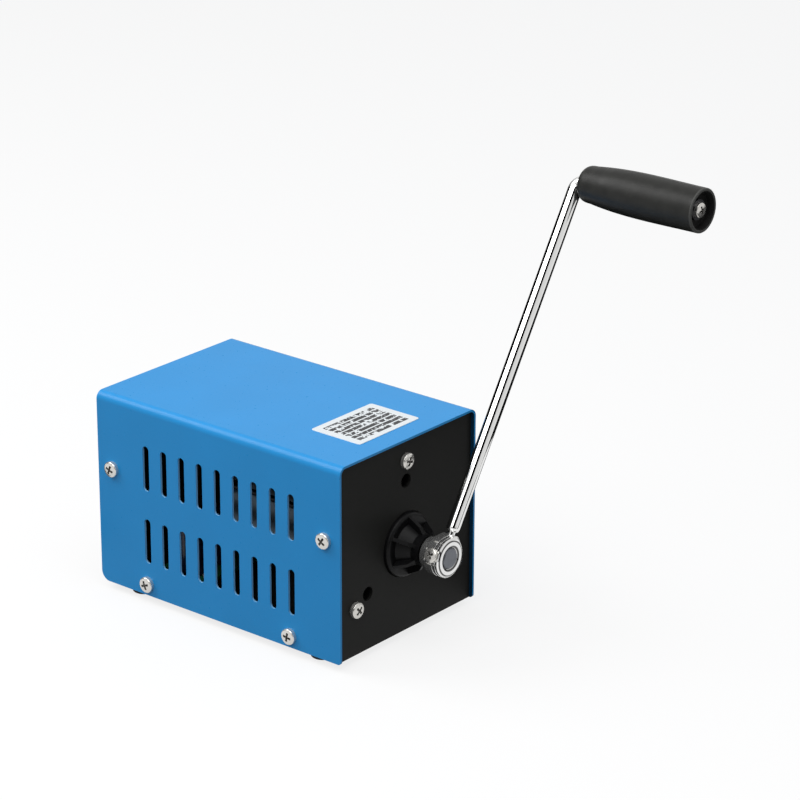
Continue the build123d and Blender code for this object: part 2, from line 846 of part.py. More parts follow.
with BuildPart() as first_carrier_plate:
    with BuildSketch(station(first_carrier)):
        Circle(carrier_radius)
        with BuildSketch(mode=Mode.PRIVATE) as flatted_bore:
            Circle(shaft_radius + seat_gap)
            with Locations((-shaft_radius - seat_gap, 0)):
                Rectangle(
                    shaft_flat, 2 * bush_radius, align=(Align.MIN, Align.CENTER), mode=Mode.SUBTRACT
                )
        add(flatted_bore.sketch, mode=Mode.SUBTRACT)
        with PolarLocations(carrier_circle, planet_count, planet_start):
            Circle(pin_radius + seat_gap, mode=Mode.SUBTRACT)
    extrude(amount=-carrier_thickness)
save(first_carrier_plate, "first_carrier")

with BuildPart() as middle_carrier:
    with BuildSketch(station(middle_carrier_front)):
        Circle(carrier_radius)
        Circle(shaft_radius + seat_gap, mode=Mode.SUBTRACT)
        with PolarLocations(carrier_circle, planet_count, planet_start):
            Circle(pin_radius + seat_gap, mode=Mode.SUBTRACT)
    extrude(amount=-carrier_thickness)
save(middle_carrier, "middle_carrier")

for name, front in (("first_pins", first_carrier), ("middle_pins", middle_carrier_front)):
    with BuildPart() as pins:
        with BuildSketch(station(front)):
            with PolarLocations(carrier_circle, planet_count, planet_start):
                Circle(pin_radius)
        extrude(amount=-pin_length)
    save(pins, name)

planet_blank = wheel(planet_teeth, pin_radius + running_gap)
for stage, front in (("first", first_planets), ("second", second_planets)):
    stage_locations = PolarLocations(carrier_circle, planet_count, planet_start).locations
    for number, place in enumerate(stage_locations, start=1):
        with BuildPart() as planet:
            with Locations(station(front - gear_width)):
                with Locations(place):
                    add(planet_blank)
        save(planet, f"{stage}_planet_{number}")

sun_blank = wheel(sun_teeth, pilot_radius + running_gap)
middle_back = middle_carrier_front - carrier_thickness
with BuildPart() as middle_sun:
    with Locations(station(first_planets - gear_width)):
        with Locations(Location((0, 0, 0), (0, 0, planet_start + gap_turn))):
            add(sun_blank)
    with BuildSketch(station(first_planets - gear_width)):
        Circle(shaft_radius)
        Circle(pilot_radius + running_gap, mode=Mode.SUBTRACT)
    extrude(amount=middle_back - first_planets + gear_width)
    with BuildSketch(station(first_planets)):
        Circle(rotor_shaft_radius)
    extrude(amount=-gear_width / 2)
    with BuildSketch(station(first_planets)):
        Circle(pilot_radius)
    extrude(amount=pilot_length)
save(middle_sun, "middle_sun")

rotor_front = middle_back + carrier_thickness
sun_back = second_planets - gear_width
rotor_end = bell_back + side_play
with BuildPart() as rotor_shaft:
    with BuildSketch(station(second_planets)):
        Circle(rotor_shaft_radius)
    extrude(amount=rotor_end - second_planets)
    with BuildSketch(station(second_planets)):
        Circle(pilot_radius)
    extrude(amount=rotor_front - second_planets)
save(rotor_shaft, "rotor_shaft")

rotor_sun_blank = wheel(sun_teeth, rotor_shaft_radius + seat_gap)
with BuildPart() as rotor_sun:
    with Locations(station(sun_back)):
        with Locations(Location((0, 0, 0), (0, 0, planet_start + gap_turn))):
            add(rotor_sun_blank)
save(rotor_sun, "rotor_sun")

# ---- Generator ----
rear_seat = generator_back + rotor_bearing_width - bell_thickness / 2
rotor_bearing = (rotor_shaft_radius + seat_gap, rotor_bearing_outer, rotor_bearing_width)
rotor_bearing_places = [station(rotor_seat), station(rear_seat - rotor_bearing_width)]
with BuildPart() as rotor_bearing_outer_rings:
    with Locations(*rotor_bearing_places):
        add(bearing_outer_ring(*rotor_bearing))
save(rotor_bearing_outer_rings, "rotor_bearing_outer_rings")

with BuildPart() as rotor_bearing_inner_rings:
    with Locations(*rotor_bearing_places):
        add(bearing_inner_ring(*rotor_bearing))
save(rotor_bearing_inner_rings, "rotor_bearing_inner_rings")

with BuildPart() as rotor_bearing_balls:
    with Locations(*rotor_bearing_places):
        add(bearing_cage(*rotor_bearing, rotor_ball_count))
save(rotor_bearing_balls, "rotor_bearing_balls")

can_inner = can_radius - can_wall
with BuildPart() as generator_can:
    with BuildSketch(station(generator_front)):
        Circle(can_radius)
        Circle(can_inner, mode=Mode.SUBTRACT)
    extrude(amount=-can_length)
save(generator_can, "generator_can")

bolt_start = planet_start + 180 / planet_count
bell_front = rear_seat
with BuildPart() as generator_bell:
    with BuildSketch(station(generator_back)):
        Circle(can_radius)
        with PolarLocations(through_bolt_circle_radius / 2, planet_count, bolt_start):
            Rectangle(through_bolt_circle_radius, 2 * m3_nut_radius)
        with PolarLocations(through_bolt_circle_radius, planet_count, bolt_start):
            Circle(m3_nut_radius)
    extrude(amount=-bell_thickness)
    with BuildSketch(station(generator_back)):
        Circle(bell_boss_radius)
    extrude(amount=bell_front - generator_back)
    with BuildSketch(station(bell_front)):
        Circle(rotor_bearing_outer + seat_gap)
    extrude(amount=-rotor_bearing_width, mode=Mode.SUBTRACT)
    with BuildSketch(station(bell_back)):
        Circle(rotor_bearing_outer - side_play * 2)
        with PolarLocations(through_bolt_circle_radius, planet_count, bolt_start):
            Circle(m3_radius + screw_clearance)
        with PolarLocations((can_inner + bell_boss_radius) / 2, planet_count, planet_start):
            Circle(lead_radius * 3)
    extrude(amount=bell_thickness, mode=Mode.SUBTRACT)
save(generator_bell, "generator_bell")

through_bolt = pan_screw(
    m3_radius, generator_front - bell_back + rear_wall, m3_head_radius, m3_head_height
)
with BuildPart() as generator_bolts:
    with Locations(
        Plane(origin=station(bell_back).origin, x_dir=(-1, 0, 0), z_dir=(0, 1, 0))
    ):
        with PolarLocations(through_bolt_circle_radius, planet_count, 180 - bolt_start):
            add(through_bolt)
save(generator_bolts, "generator_bolts")

stator_front = (rotor_seat + bell_front + stator_length) / 2
with BuildPart() as stator_core:
    with BuildSketch(station(stator_front)):
        Circle(can_inner - seat_gap)
        Circle(can_inner - stator_yoke, mode=Mode.SUBTRACT)
        with PolarLocations(stator_bore + pole_shoe / 2, stator_teeth, planet_start):
            Rectangle(
                can_inner - stator_bore - stator_yoke, tooth_width, align=(Align.MIN, Align.CENTER)
            )
        Circle(stator_bore + pole_shoe)
        Circle(stator_bore, mode=Mode.SUBTRACT)
        with PolarLocations(stator_bore, stator_teeth, planet_start + 180 / stator_teeth):
            Rectangle(3 * pole_shoe, pole_slit, mode=Mode.SUBTRACT)
    extrude(amount=-stator_length)
save(stator_core, "stator_core")

coil_inner = stator_bore + pole_shoe + coil_thickness / 4
coil_outer = can_inner - stator_yoke - coil_thickness / 4
coil_turn = tooth_width / 2 + coil_thickness + seat_gap
coil_plane = Plane(
    origin=(centre_x, station(stator_front - stator_length / 2).origin.Y, axis_z + coil_inner),
    x_dir=(1, 0, 0),
    z_dir=(0, 0, 1),
)
with BuildPart() as stator_coil:
    with BuildSketch(coil_plane):
        RectangleRounded(2 * coil_turn, stator_length + 2 * (coil_thickness + seat_gap), coil_thickness)
        Rectangle(tooth_width + 2 * seat_gap, stator_length + 2 * seat_gap, mode=Mode.SUBTRACT)
    extrude(amount=coil_outer - coil_inner)
coil_at_axis = stator_coil.part.moved(station(0).location.inverse())
with BuildPart() as stator_coils:
    with Locations(station(0)):
        with PolarLocations(0, stator_teeth, 0):
            add(coil_at_axis)
save(stator_coils, "stator_coils")

magnet_outer = stator_bore - air_gap
magnet_inner = magnet_outer - magnet_thickness
with BuildPart() as rotor_core:
    with BuildSketch(station(stator_front)):
        Circle(magnet_inner - seat_gap)
        Circle(rotor_shaft_radius + seat_gap, mode=Mode.SUBTRACT)
    extrude(amount=-stator_length)
save(rotor_core, "rotor_core")

half_arc = math.radians(magnet_arc / 2)
with BuildPart() as rotor_magnets:
    with BuildSketch(station(stator_front)):
        with BuildSketch(mode=Mode.PRIVATE) as magnet:
            Circle(magnet_outer)
            Circle(magnet_inner, mode=Mode.SUBTRACT)
            Polygon(
                (0, 0),
                (2 * magnet_outer * math.cos(half_arc), -2 * magnet_outer * math.sin(half_arc)),
                (2 * magnet_outer * math.cos(half_arc), 2 * magnet_outer * math.sin(half_arc)),
                align=None,
                mode=Mode.INTERSECT,
            )
        with PolarLocations(0, magnet_count, planet_start):
            add(magnet.sketch)
    extrude(amount=-stator_length)
save(rotor_magnets, "rotor_magnets")

# ---- Crank and grip ----
arm_origin = station(arm_station).origin
arm_plane = Plane(origin=arm_origin, x_dir=(arm_x, 0, arm_z), z_dir=(arm_z, 0, -arm_x))
nose_tip = eye_nose + eye_nose_radius
neck_tip = nose_tip - neck_depth
screw_x = -math.cos(math.radians(set_screw_rise))
screw_z = math.sin(math.radians(set_screw_rise))
set_screw_plane = Plane(origin=arm_origin, x_dir=(0, -1, 0), z_dir=(screw_x, 0, screw_z))
screw_seat = eye_radius - eye_chamfer / 2

with BuildPart() as crank_hub:
    with BuildSketch(station(eye_back)):
        with BuildSketch(mode=Mode.PRIVATE) as eye:
            Circle(eye_radius)
            with Locations((eye_nose * arm_x, eye_nose * arm_z)):
                Circle(eye_nose_radius)
            make_hull()
        add(eye.sketch)
    extrude(amount=eye_thickness)
    chamfer(crank_hub.faces().sort_by(Axis.Y)[0].edges(), eye_chamfer)
    chamfer(crank_hub.faces().sort_by(Axis.Y)[-1].edges(), eye_chamfer / 2)
    with BuildSketch(station(hub_back + collar_length)):
        Circle(hub_groove_radius)
    extrude(amount=hub_groove)
    with BuildSketch(station(hub_back)):
        Circle(collar_radius)
    extrude(amount=collar_length)
    chamfer(
        crank_hub.edges().filter_by(GeomType.CIRCLE).sort_by(Axis.Y)[-1], eye_chamfer / 2
    )
    with BuildSketch(station(hub_back)):
        Circle(shaft_radius + seat_gap)
    extrude(amount=hub_front - hub_back, mode=Mode.SUBTRACT)
    with BuildSketch(set_screw_plane.offset(screw_seat)):
        Circle(set_screw_head_radius + screw_clearance)
    extrude(amount=eye_radius, mode=Mode.SUBTRACT)
    with BuildSketch(set_screw_plane):
        Circle(set_screw_radius + seat_gap)
    extrude(amount=eye_radius, mode=Mode.SUBTRACT)
    with BuildSketch(Plane(origin=arm_plane.from_local_coords((neck_tip, 0, 0)), z_dir=arm_plane.x_dir)):
        Circle(neck_radius + seat_gap)
    extrude(amount=neck_depth * 2, mode=Mode.SUBTRACT)
save(crank_hub, "crank_hub")

set_screw_length = screw_seat - (shaft_radius - shaft_flat) - seat_gap
hub_screw_form = pan_screw(
    set_screw_radius, set_screw_length, set_screw_head_radius, set_screw_head_height
)
with BuildPart() as hub_set_screw:
    with Locations(set_screw_plane.offset(screw_seat)):
        add(hub_screw_form)
save(hub_set_screw, "hub_set_screw")

spindle_plane = station(spindle_start)
with BuildPart() as crank_arm:
    with BuildLine(arm_plane) as bent_rod:
        straight = Line((rod_start, 0), (crank_radius - rod_bend, 0))
        bend = JernArc(straight @ 1, (1, 0), rod_bend, 90)
        Line(bend @ 1, (crank_radius, spindle_start - arm_station))
    with BuildSketch(Plane(origin=arm_plane.from_local_coords((rod_start, 0, 0)), z_dir=arm_plane.x_dir)):
        Circle(rod_radius)
    sweep()
    rod_foot = crank_arm.edges().filter_by(GeomType.CIRCLE).sort_by(Axis.Z)[0]
    chamfer(rod_foot, rod_chamfer)
    with BuildSketch(Plane(origin=arm_plane.from_local_coords((neck_tip, 0, 0)), z_dir=arm_plane.x_dir)):
        Circle(neck_radius)
    extrude(amount=rod_start - neck_tip)
    with BuildSketch(spindle_plane):
        with Locations((grip_x, grip_z)):
            Circle(spindle_radius)
    extrude(amount=spindle_end - spindle_start)
    with BuildSketch(station(spindle_end)):
        with Locations((grip_x, grip_z)):
            Circle(m3_radius + seat_gap)
    extrude(amount=-grip_screw_length - side_play, mode=Mode.SUBTRACT)
save(crank_arm, "crank_arm")

mouth_radius = rod_radius + grip_mouth_gap
mouth_end = spindle_start + grip_mouth_gap
bore_radius = spindle_radius + running_gap
dish_radius = grip_outer_radius - grip_rim
grip_middle = (grip_start + grip_end) / 2
with BuildPart() as grip:
    with BuildSketch(lengthways(grip_x, grip_z)):
        with BuildLine():
            inner_end = Line((mouth_radius, grip_start), (grip_inner_radius - grip_inner_round, grip_start))
            shoulder = RadiusArc(
                inner_end @ 1,
                (grip_inner_radius, grip_start + grip_inner_round),
                -grip_inner_round,
            )
            swell = Spline(
                shoulder @ 1,
                (grip_middle_radius, grip_middle),
                (grip_outer_radius, grip_end - grip_rim_round),
                tangents=[
                    (math.sin(math.radians(grip_flare)), math.cos(math.radians(grip_flare))),
                    (0, 1),
                ],
            )
            rim = RadiusArc(swell @ 1, (grip_outer_radius - grip_rim_round, grip_end), -grip_rim_round)
            Polyline(
                rim @ 1,
                (dish_radius, grip_end),
                (dish_radius - grip_rim_round, grip_floor),
                (bore_radius, grip_floor),
                (bore_radius, mouth_end),
                (mouth_radius, mouth_end),
                (mouth_radius, grip_start),
            )
        make_face()
    revolve(axis=forward_axis(grip_x, grip_z))
save(grip, "grip")

with BuildPart() as grip_washer:
    with BuildSketch(station(spindle_end)):
        with Locations((grip_x, grip_z)):
            Circle(washer_radius)
            Circle(m3_radius + screw_clearance, mode=Mode.SUBTRACT)
    extrude(amount=washer_thickness)
save(grip_washer, "grip_washer")

grip_screw_form = pan_screw(
    m3_radius, grip_screw_length, grip_screw_head_radius, grip_screw_head_height
)
with BuildPart() as grip_screw:
    with Locations(station(spindle_end + washer_thickness)):
        with Locations((grip_x, grip_z)):
            add(grip_screw_form)
save(grip_screw, "grip_screw")

# ---- Circuit board ----
board_bottom = base_top + board_rise
board_top = board_bottom + board_thickness
support_spots = GridLocations(
    board_length - 2 * board_hole_inset, board_width - 2 * board_hole_inset, 2, 2
).locations

with BuildPart() as circuit_board:
    with BuildSketch(level(board_bottom)):
        with Locations((0, board_shift)):
            Rectangle(board_length, board_width)
            with Locations(*support_spots):
                Circle(support_tip_radius + seat_gap, mode=Mode.SUBTRACT)
    extrude(amount=board_thickness)
save(circuit_board, "circuit_board")

with BuildPart() as board_supports:
    with BuildSketch(level(base_top)):
        with Locations((0, board_shift)):
            with Locations(*support_spots):
                Circle(support_radius)
    extrude(amount=board_rise)
    with BuildSketch(level(case_bottom)):
        with Locations((0, board_shift)):
            with Locations(*support_spots):
                Circle(support_tip_radius)
    extrude(amount=board_top + board_thickness - case_bottom)
save(board_supports, "board_supports")

with BuildPart() as capacitors:
    with BuildSketch(level(board_top)):
        with Locations((-capacitor_pitch * 1.2, board_shift)):
            with GridLocations(capacitor_pitch, 1, 2, 1):
                Circle(capacitor_radius)
    extrude(amount=capacitor_height)
    fillet(capacitors.edges().group_by(Axis.Z)[-1], lead_radius)
save(capacitors, "capacitors")

with BuildPart() as heat_sink:
    with BuildSketch(level(board_top)):
        with Locations((sink_length / 2 + lead_bend, board_shift)):
            Rectangle(sink_length, sink_base)
            with GridLocations((sink_length - sink_fin) / (sink_fins - 1), 1, sink_fins, 1):
                Rectangle(sink_fin, sink_width)
    extrude(amount=sink_height)
save(heat_sink, "heat_sink")

coil_end = stator_front - stator_length - coil_thickness - 2 * seat_gap
board_front_row = board_shift - board_width / 2 + lead_inset
board_rear_row = board_shift + board_width / 2 - lead_inset
lead_circle = (coil_inner + coil_outer) / 2
phase_points = PolarLocations(lead_circle, planet_count, planet_start, rotate=False).locations
outlet_backs = [
    (-outlet_pitch, outlet_up, usb_depth),
    (0, outlet_up, jack_depth),
    (outlet_pitch, outlet_up, switch_depth),
    (outlet_pitch / 2, meter_up, meter_depth),
]
lead_starts = []
for point in phase_points:
    start = Vector(centre_x + point.position.X, station(coil_end).origin.Y, axis_z + point.position.Y)
    lead_starts.append((start, centre_y + board_front_row))
for right, up, depth in outlet_backs:
    start = Vector(centre_x - right, centre_y + panel_face - depth - seat_gap, case_bottom + up)
    lead_starts.append((start, centre_y + board_rear_row))

with BuildPart() as wiring:
    for start, row_y in lead_starts:
        corner = Vector(start.X, row_y, start.Z)
        solder_joint = Vector(start.X, row_y, board_top + seat_gap)
        with BuildLine() as lead_path:
            FilletPolyline(start, corner, solder_joint, radius=lead_bend)
        with BuildSketch(Plane(origin=start, z_dir=corner - start)):
            Circle(lead_radius)
        sweep(path=lead_path.line)
save(wiring, "wiring")

# ---- Outlets in the rear panel ----
with BuildPart() as meter_housing:
    with BuildSketch(outlet(0, up=meter_up)):
        RectangleRounded(meter_width, meter_height, meter_lip)
    extrude(amount=meter_bezel)
    with BuildSketch(outlet(0, up=meter_up)):
        Rectangle(meter_width - 2 * meter_lip - 2 * seat_gap, meter_height - 2 * meter_lip - 2 * seat_gap)
    extrude(amount=-meter_depth)
    with BuildSketch(outlet(meter_bezel, up=meter_up)):
        Rectangle(meter_window_width + 2 * seat_gap, meter_window_height + 2 * seat_gap)
    extrude(amount=-meter_window_sink - seat_gap, mode=Mode.SUBTRACT)
save(meter_housing, "meter_housing")

with BuildPart() as meter_window:
    with BuildSketch(outlet(meter_bezel, up=meter_up)):
        Rectangle(meter_window_width, meter_window_height)
    extrude(amount=-meter_window_sink)
save(meter_window, "meter_window")

with BuildPart() as output_jack:
    with BuildSketch(outlet(0, up=outlet_up)):
        Circle(jack_flange_radius)
    extrude(amount=jack_flange)
    chamfer(output_jack.edges().group_by(Axis.Y)[-1], jack_flange / 3)
    with BuildSketch(outlet(0, up=outlet_up)):
        Circle(jack_radius)
    extrude(amount=-jack_depth)
    with BuildSketch(outlet(jack_flange, up=outlet_up)):
        Circle(jack_bore)
        Circle(jack_pin_radius, mode=Mode.SUBTRACT)
    extrude(amount=-jack_bore_depth, mode=Mode.SUBTRACT)
save(output_jack, "output_jack")

usb_plane = outlet(usb_bezel, right=-outlet_pitch, up=outlet_up)
with BuildPart() as usb_housing:
    with BuildSketch(usb_plane):
        RectangleRounded(usb_width, usb_height, usb_lip)
    extrude(amount=-usb_bezel)
    with BuildSketch(usb_plane.offset(-usb_bezel)):
        Rectangle(usb_width - 2 * usb_lip - 2 * seat_gap, usb_height - 2 * usb_lip - 2 * seat_gap)
    extrude(amount=-usb_depth)
    with BuildSketch(usb_plane):
        with GridLocations(1, usb_pitch, 1, 2):
            Rectangle(
                usb_port_width + 2 * usb_shell + 2 * seat_gap, usb_port_height + 2 * usb_shell + 2 * seat_gap
            )
    extrude(amount=-usb_port_depth, mode=Mode.SUBTRACT)
    with BuildSketch(usb_plane.offset(-usb_port_depth)):
        with Locations((0, usb_port_height / 2 - usb_tongue)):
            with GridLocations(1, usb_pitch, 1, 2):
                Rectangle(usb_port_width - 2 * usb_tongue, usb_tongue)
    extrude(amount=usb_port_depth - usb_bezel)
save(usb_housing, "usb_housing")

with BuildPart() as usb_shells:
    with BuildSketch(usb_plane):
        with GridLocations(1, usb_pitch, 1, 2):
            Rectangle(usb_port_width + 2 * usb_shell, usb_port_height + 2 * usb_shell)
            Rectangle(usb_port_width, usb_port_height, mode=Mode.SUBTRACT)
    extrude(amount=seat_gap - usb_port_depth)
save(usb_shells, "usb_shells")

switch_plane = outlet(switch_bezel, right=outlet_pitch, up=outlet_up)
well_width = rocker_width + 2 * rocker_side_gap
well_height = rocker_height + 2 * rocker_end_gap
well_depth = switch_bezel + rocker_root + 2 * rocker_side_gap
pivot_plane = Plane(origin=switch_plane.offset(-switch_bezel).origin, x_dir=(0, 1, 0), z_dir=(1, 0, 0))
with BuildPart() as switch_body:
    with BuildSketch(switch_plane):
        RectangleRounded(switch_width, switch_height, switch_lip)
    extrude(amount=-switch_bezel)
    with BuildSketch(switch_plane.offset(-switch_bezel)):
        Rectangle(
            switch_width - 2 * switch_lip - 2 * seat_gap, switch_height - 2 * switch_lip - 2 * seat_gap
        )
    extrude(amount=-switch_depth)
    with BuildSketch(switch_plane):
        Rectangle(well_width, well_height)
    extrude(amount=-well_depth, mode=Mode.SUBTRACT)
    with BuildSketch(pivot_plane):
        Circle(rocker_pivot_radius + running_gap)
    extrude(amount=rocker_width / 2 + rocker_pin + running_gap, both=True, mode=Mode.SUBTRACT)
save(switch_body, "switch_body")

half_rocker = rocker_height / 2
tilted_pivot = Plane(
    origin=pivot_plane.origin,
    x_dir=(0, math.cos(math.radians(rocker_tilt)), math.sin(math.radians(rocker_tilt))),
    z_dir=(1, 0, 0),
)
with BuildPart() as rocker:
    with BuildSketch(tilted_pivot):
        Polygon(
            (rocker_face, -half_rocker),
            (rocker_face - rocker_dip, 0),
            (rocker_face, half_rocker),
            (0, half_rocker),
            (-rocker_root, rocker_root / 2),
            (-rocker_root, -rocker_root / 2),
            (0, -half_rocker),
            align=None,
        )
    extrude(amount=rocker_width / 2, both=True)
    with BuildSketch(tilted_pivot):
        Circle(rocker_pivot_radius)
    extrude(amount=rocker_width / 2 + rocker_pin, both=True)
save(rocker, "rocker")
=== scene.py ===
"""Looks of a hand crank generator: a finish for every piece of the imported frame, and its crank, grip,
screws, feet and label as surfaces worked out with numpy. All sizes are in metres."""

import json
import math

import bmesh
import bpy
import numpy as np
from bpy.props import FloatProperty, FloatVectorProperty, IntProperty, PointerProperty
from mathutils import Matrix, Vector


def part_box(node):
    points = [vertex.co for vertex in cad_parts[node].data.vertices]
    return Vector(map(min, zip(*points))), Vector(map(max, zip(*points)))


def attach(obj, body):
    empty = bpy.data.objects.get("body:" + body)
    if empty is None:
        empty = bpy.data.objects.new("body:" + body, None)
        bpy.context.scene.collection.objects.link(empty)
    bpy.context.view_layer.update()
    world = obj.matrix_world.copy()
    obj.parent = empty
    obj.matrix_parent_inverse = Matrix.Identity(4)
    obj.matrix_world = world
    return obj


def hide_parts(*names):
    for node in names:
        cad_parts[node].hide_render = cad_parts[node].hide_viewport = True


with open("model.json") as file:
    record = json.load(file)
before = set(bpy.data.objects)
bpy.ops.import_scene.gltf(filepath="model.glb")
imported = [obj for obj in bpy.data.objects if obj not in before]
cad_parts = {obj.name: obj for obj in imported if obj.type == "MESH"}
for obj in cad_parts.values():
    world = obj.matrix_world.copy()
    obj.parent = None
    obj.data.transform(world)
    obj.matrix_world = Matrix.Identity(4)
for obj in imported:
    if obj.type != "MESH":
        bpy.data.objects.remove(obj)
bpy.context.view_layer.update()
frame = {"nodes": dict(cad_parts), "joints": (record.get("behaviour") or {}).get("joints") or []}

bl_info = {
    "name": "Hand Crank Generator",
    "version": (1, 0, 0),
    "blender": (4, 5, 0),
    "location": "3D View > Sidebar > Hand Crank",
    "description": "Finishes and detail pieces for a hand crank generator",
    "category": "Object",
}

# ---- Places read from the frame ----
JOINTS = {joint["name"]: joint for joint in frame["joints"]}
CRANK_AXIS = np.array(JOINTS["crank_spin"]["pos_m"])
GRIP_AXIS = np.array(JOINTS["grip_spin"]["pos_m"])
FORWARD = np.array([0.0, -1.0, 0.0])
SIDEWAYS = np.array([1.0, 0.0, 0.0])
UP = np.array([0.0, 0.0, 1.0])
COVER_LOW, COVER_HIGH = (np.array(corner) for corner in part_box("top_cover"))
CASING_MIDDLE = (COVER_LOW + COVER_HIGH) / 2
ARM = (GRIP_AXIS - CRANK_AXIS) * (1, 0, 1)
ARM_LENGTH = float(np.linalg.norm(ARM))
ARM = ARM / ARM_LENGTH
FULL_TURN = 2 * math.pi

# ---- Shares of a screw head's radius or height ----
WING = 0.15
WING_SPAN = 0.58
RECESS_DEPTH = 0.72
RECESS_SLOPE = 0.62
DOME = 0.22
DOME_EDGE = 0.86
RINGS_ON_HEAD = np.array([1e-4, 0.06, 0.12, 0.2, 0.34, 0.48, 0.57, 0.58, 0.66, 0.76, DOME_EDGE])

# ---- The cover's paint: a depth just short of the sheet's inner face, the outer radius of the bends,
# and how far the cut edges, with their painted highlight, keep from the outer face and from the cover's
# ends ----
COVER_WALL = 0.00115
COVER_BEND = 0.004
CUT_SKIN = 0.0002
CUT_ENDS = 0.006

# ---- Moulded pieces: colour, roughness, grain depth, grain width, specular level ----
MOULDED = {
    "housing_nylon": ((0.004, 0.004, 0.0044), 0.4, 0.00001, 0.0008, 0.14),
    "panel_plastic": ((0.016, 0.016, 0.017), 0.42, 0.00001, 0.0005, 0.5),
    "foot_rubber": ((0.012, 0.012, 0.012), 0.75, 0.00002, 0.0006, 0.3),
    "rocker_red": ((0.35, 0.012, 0.01), 0.3, 0.000004, 0.0008, 0.5),
    "window_red": ((0.09, 0.004, 0.005), 0.12, 0.000002, 0.002, 0.5),
    "nylon_white": ((0.6, 0.6, 0.56), 0.4, 0.000006, 0.0008, 0.5),
    "board_green": ((0.012, 0.11, 0.045), 0.35, 0.000008, 0.0012, 0.5),
    "capacitor_sleeve": ((0.015, 0.02, 0.06), 0.3, 0.000004, 0.001, 0.5),
    "lead_black": ((0.02, 0.02, 0.02), 0.42, 0.000006, 0.0008, 0.5),
    "sink_black": ((0.02, 0.02, 0.022), 0.38, 0.000004, 0.0004, 0.6),
    "magnet": ((0.05, 0.05, 0.052), 0.6, 0.00001, 0.0004, 0.5),
}
WINDOW_COAT = 0.4

# ---- Metal pieces: colour, roughness, depth of the drawn lines, their stretch and width ----
EVEN = (1, 1, 1)
METALS = {
    "black_steel": ((0.06, 0.06, 0.065), 0.32, 0.000004, EVEN, 0.0006),
    "gear_steel": ((0.5, 0.49, 0.47), 0.3, 0.000004, (1, 0.08, 1), 0.0006),
    "bearing_steel": ((0.68, 0.68, 0.68), 0.12, 0.000001, EVEN, 0.0006),
    "bronze": ((0.62, 0.36, 0.15), 0.34, 0.000004, EVEN, 0.0006),
    # Painted shade: the aluminium is painted dark and bluish, the look it has in the shade inside the
    # casing.
    "aluminium": ((0.2, 0.25, 0.3), 0.36, 0.000008, (1, 0.1, 1), 0.0005),
    "core_steel": ((0.3, 0.3, 0.31), 0.42, 0.00001, (1, 8, 1), 0.004),
    "copper": ((0.72, 0.27, 0.12), 0.25, 0.00002, EVEN, 0.0008),
}
METAL_STAIN = 0.12
CREASE = math.radians(35)

# ---- Stage ----
FLOOR_REACH = 9.0
FLOOR_GLOW = 0.8
FLOOR_SEEN = (0.86, 0.86, 0.86)
FLOOR_LIT = (0.15, 0.15, 0.15)
# Soft square lamps: place from the casing's middle, and width.
LAMPS = {
    "key": ((-0.25, -0.35, 1.4), 1.0),
    "fill": ((-0.8, -0.15, 0.75), 0.5),
    "rim": ((-0.5, 0.82, 1.0), 0.8),
}
# Black cards round the stage that only mirrors see: bearing, half width and height.
CARDS = ((223.5, 0.42, 1.4), (250.0, 0.2, 0.26), (184.0, 0.07, 1.0))
CARD_DISTANCE = 1.3
CARD_FOOT = 0.02
# Black mats on the floor around, as left, front, right and rear distances from the casing's middle.
MATS = (
    (0.06, -0.12, 1.6, 1.7),
    (-0.1, 0.12, 0.06, 1.7),
    (0.22, -0.6, 1.6, -0.12),
    (-0.05, -0.62, 0.2, -0.36),
)
# Black walls behind them, as left and right ends and height.
WALLS = ((0.05, 1.0, 0.42), (-0.7, 0.05, 0.85))
WALL_BACK = 1.0
MAT_LIFT = 0.001


# ---- Settings ----
def size(name, description, default):
    """A length in metres that a user can change."""
    return FloatProperty(name=name, description=description, default=default, unit="LENGTH", precision=5)


def tilt(name, description, degrees):
    """An angle that a user can change."""
    return FloatProperty(name=name, description=description, default=math.radians(degrees), unit="ROTATION")


def power(name, description, watts):
    """A lamp's power that a user can change."""
    return FloatProperty(name=name, description=description, default=watts, unit="POWER")


def colour(name, description, default):
    """A linear colour that a user can change."""
    return FloatVectorProperty(
        name=name, description=description, default=default, subtype="COLOR", min=0.0, max=1.0
    )


class GripSettings(bpy.types.PropertyGroup):
    """Sizes of the tapered hand grip."""

    length: size("Length", "Length of the grip", 0.0674)
    inner_radius: size("Inner radius", "Radius beside the crank's bend", 0.0088)
    middle_radius: size("Middle radius", "Radius half way along", 0.0109)
    outer_radius: size("Outer radius", "Radius at the free end", 0.0107)
    inner_round: size("Inner round", "Rounding of the shoulder", 0.0045)
    rim: size("Rim", "Wall around the dished end", 0.0016)
    dish: size("Dish", "Depth of the dished end", 0.004)
    bore: size("Bore", "Radius of the bore on the spindle", 0.00305)
    seam: size("Seam", "Height of the moulding seam", 0.00009)


class RodSettings(bpy.types.PropertyGroup):
    """Sizes of the bent crank rod."""

    radius: size("Radius", "Radius of the rod", 0.0034)
    start: size("Start", "Distance of the rod's full section from the crank's axis", 0.0124)
    chamfer: size("Chamfer", "Chamfer at the rod's foot", 0.001)
    neck_radius: size("Neck radius", "Radius of the neck in the hub", 0.0019)
    neck_start: size("Neck start", "Distance of the neck's end from the crank's axis", 0.0069)
    bend: size("Bend", "Radius of the bend's middle line", 0.0044)
    shoulder: size("Shoulder", "Straight part between bend and spindle", 0.0008)
    spindle_radius: size("Spindle radius", "Radius of the grip's spindle", 0.003)


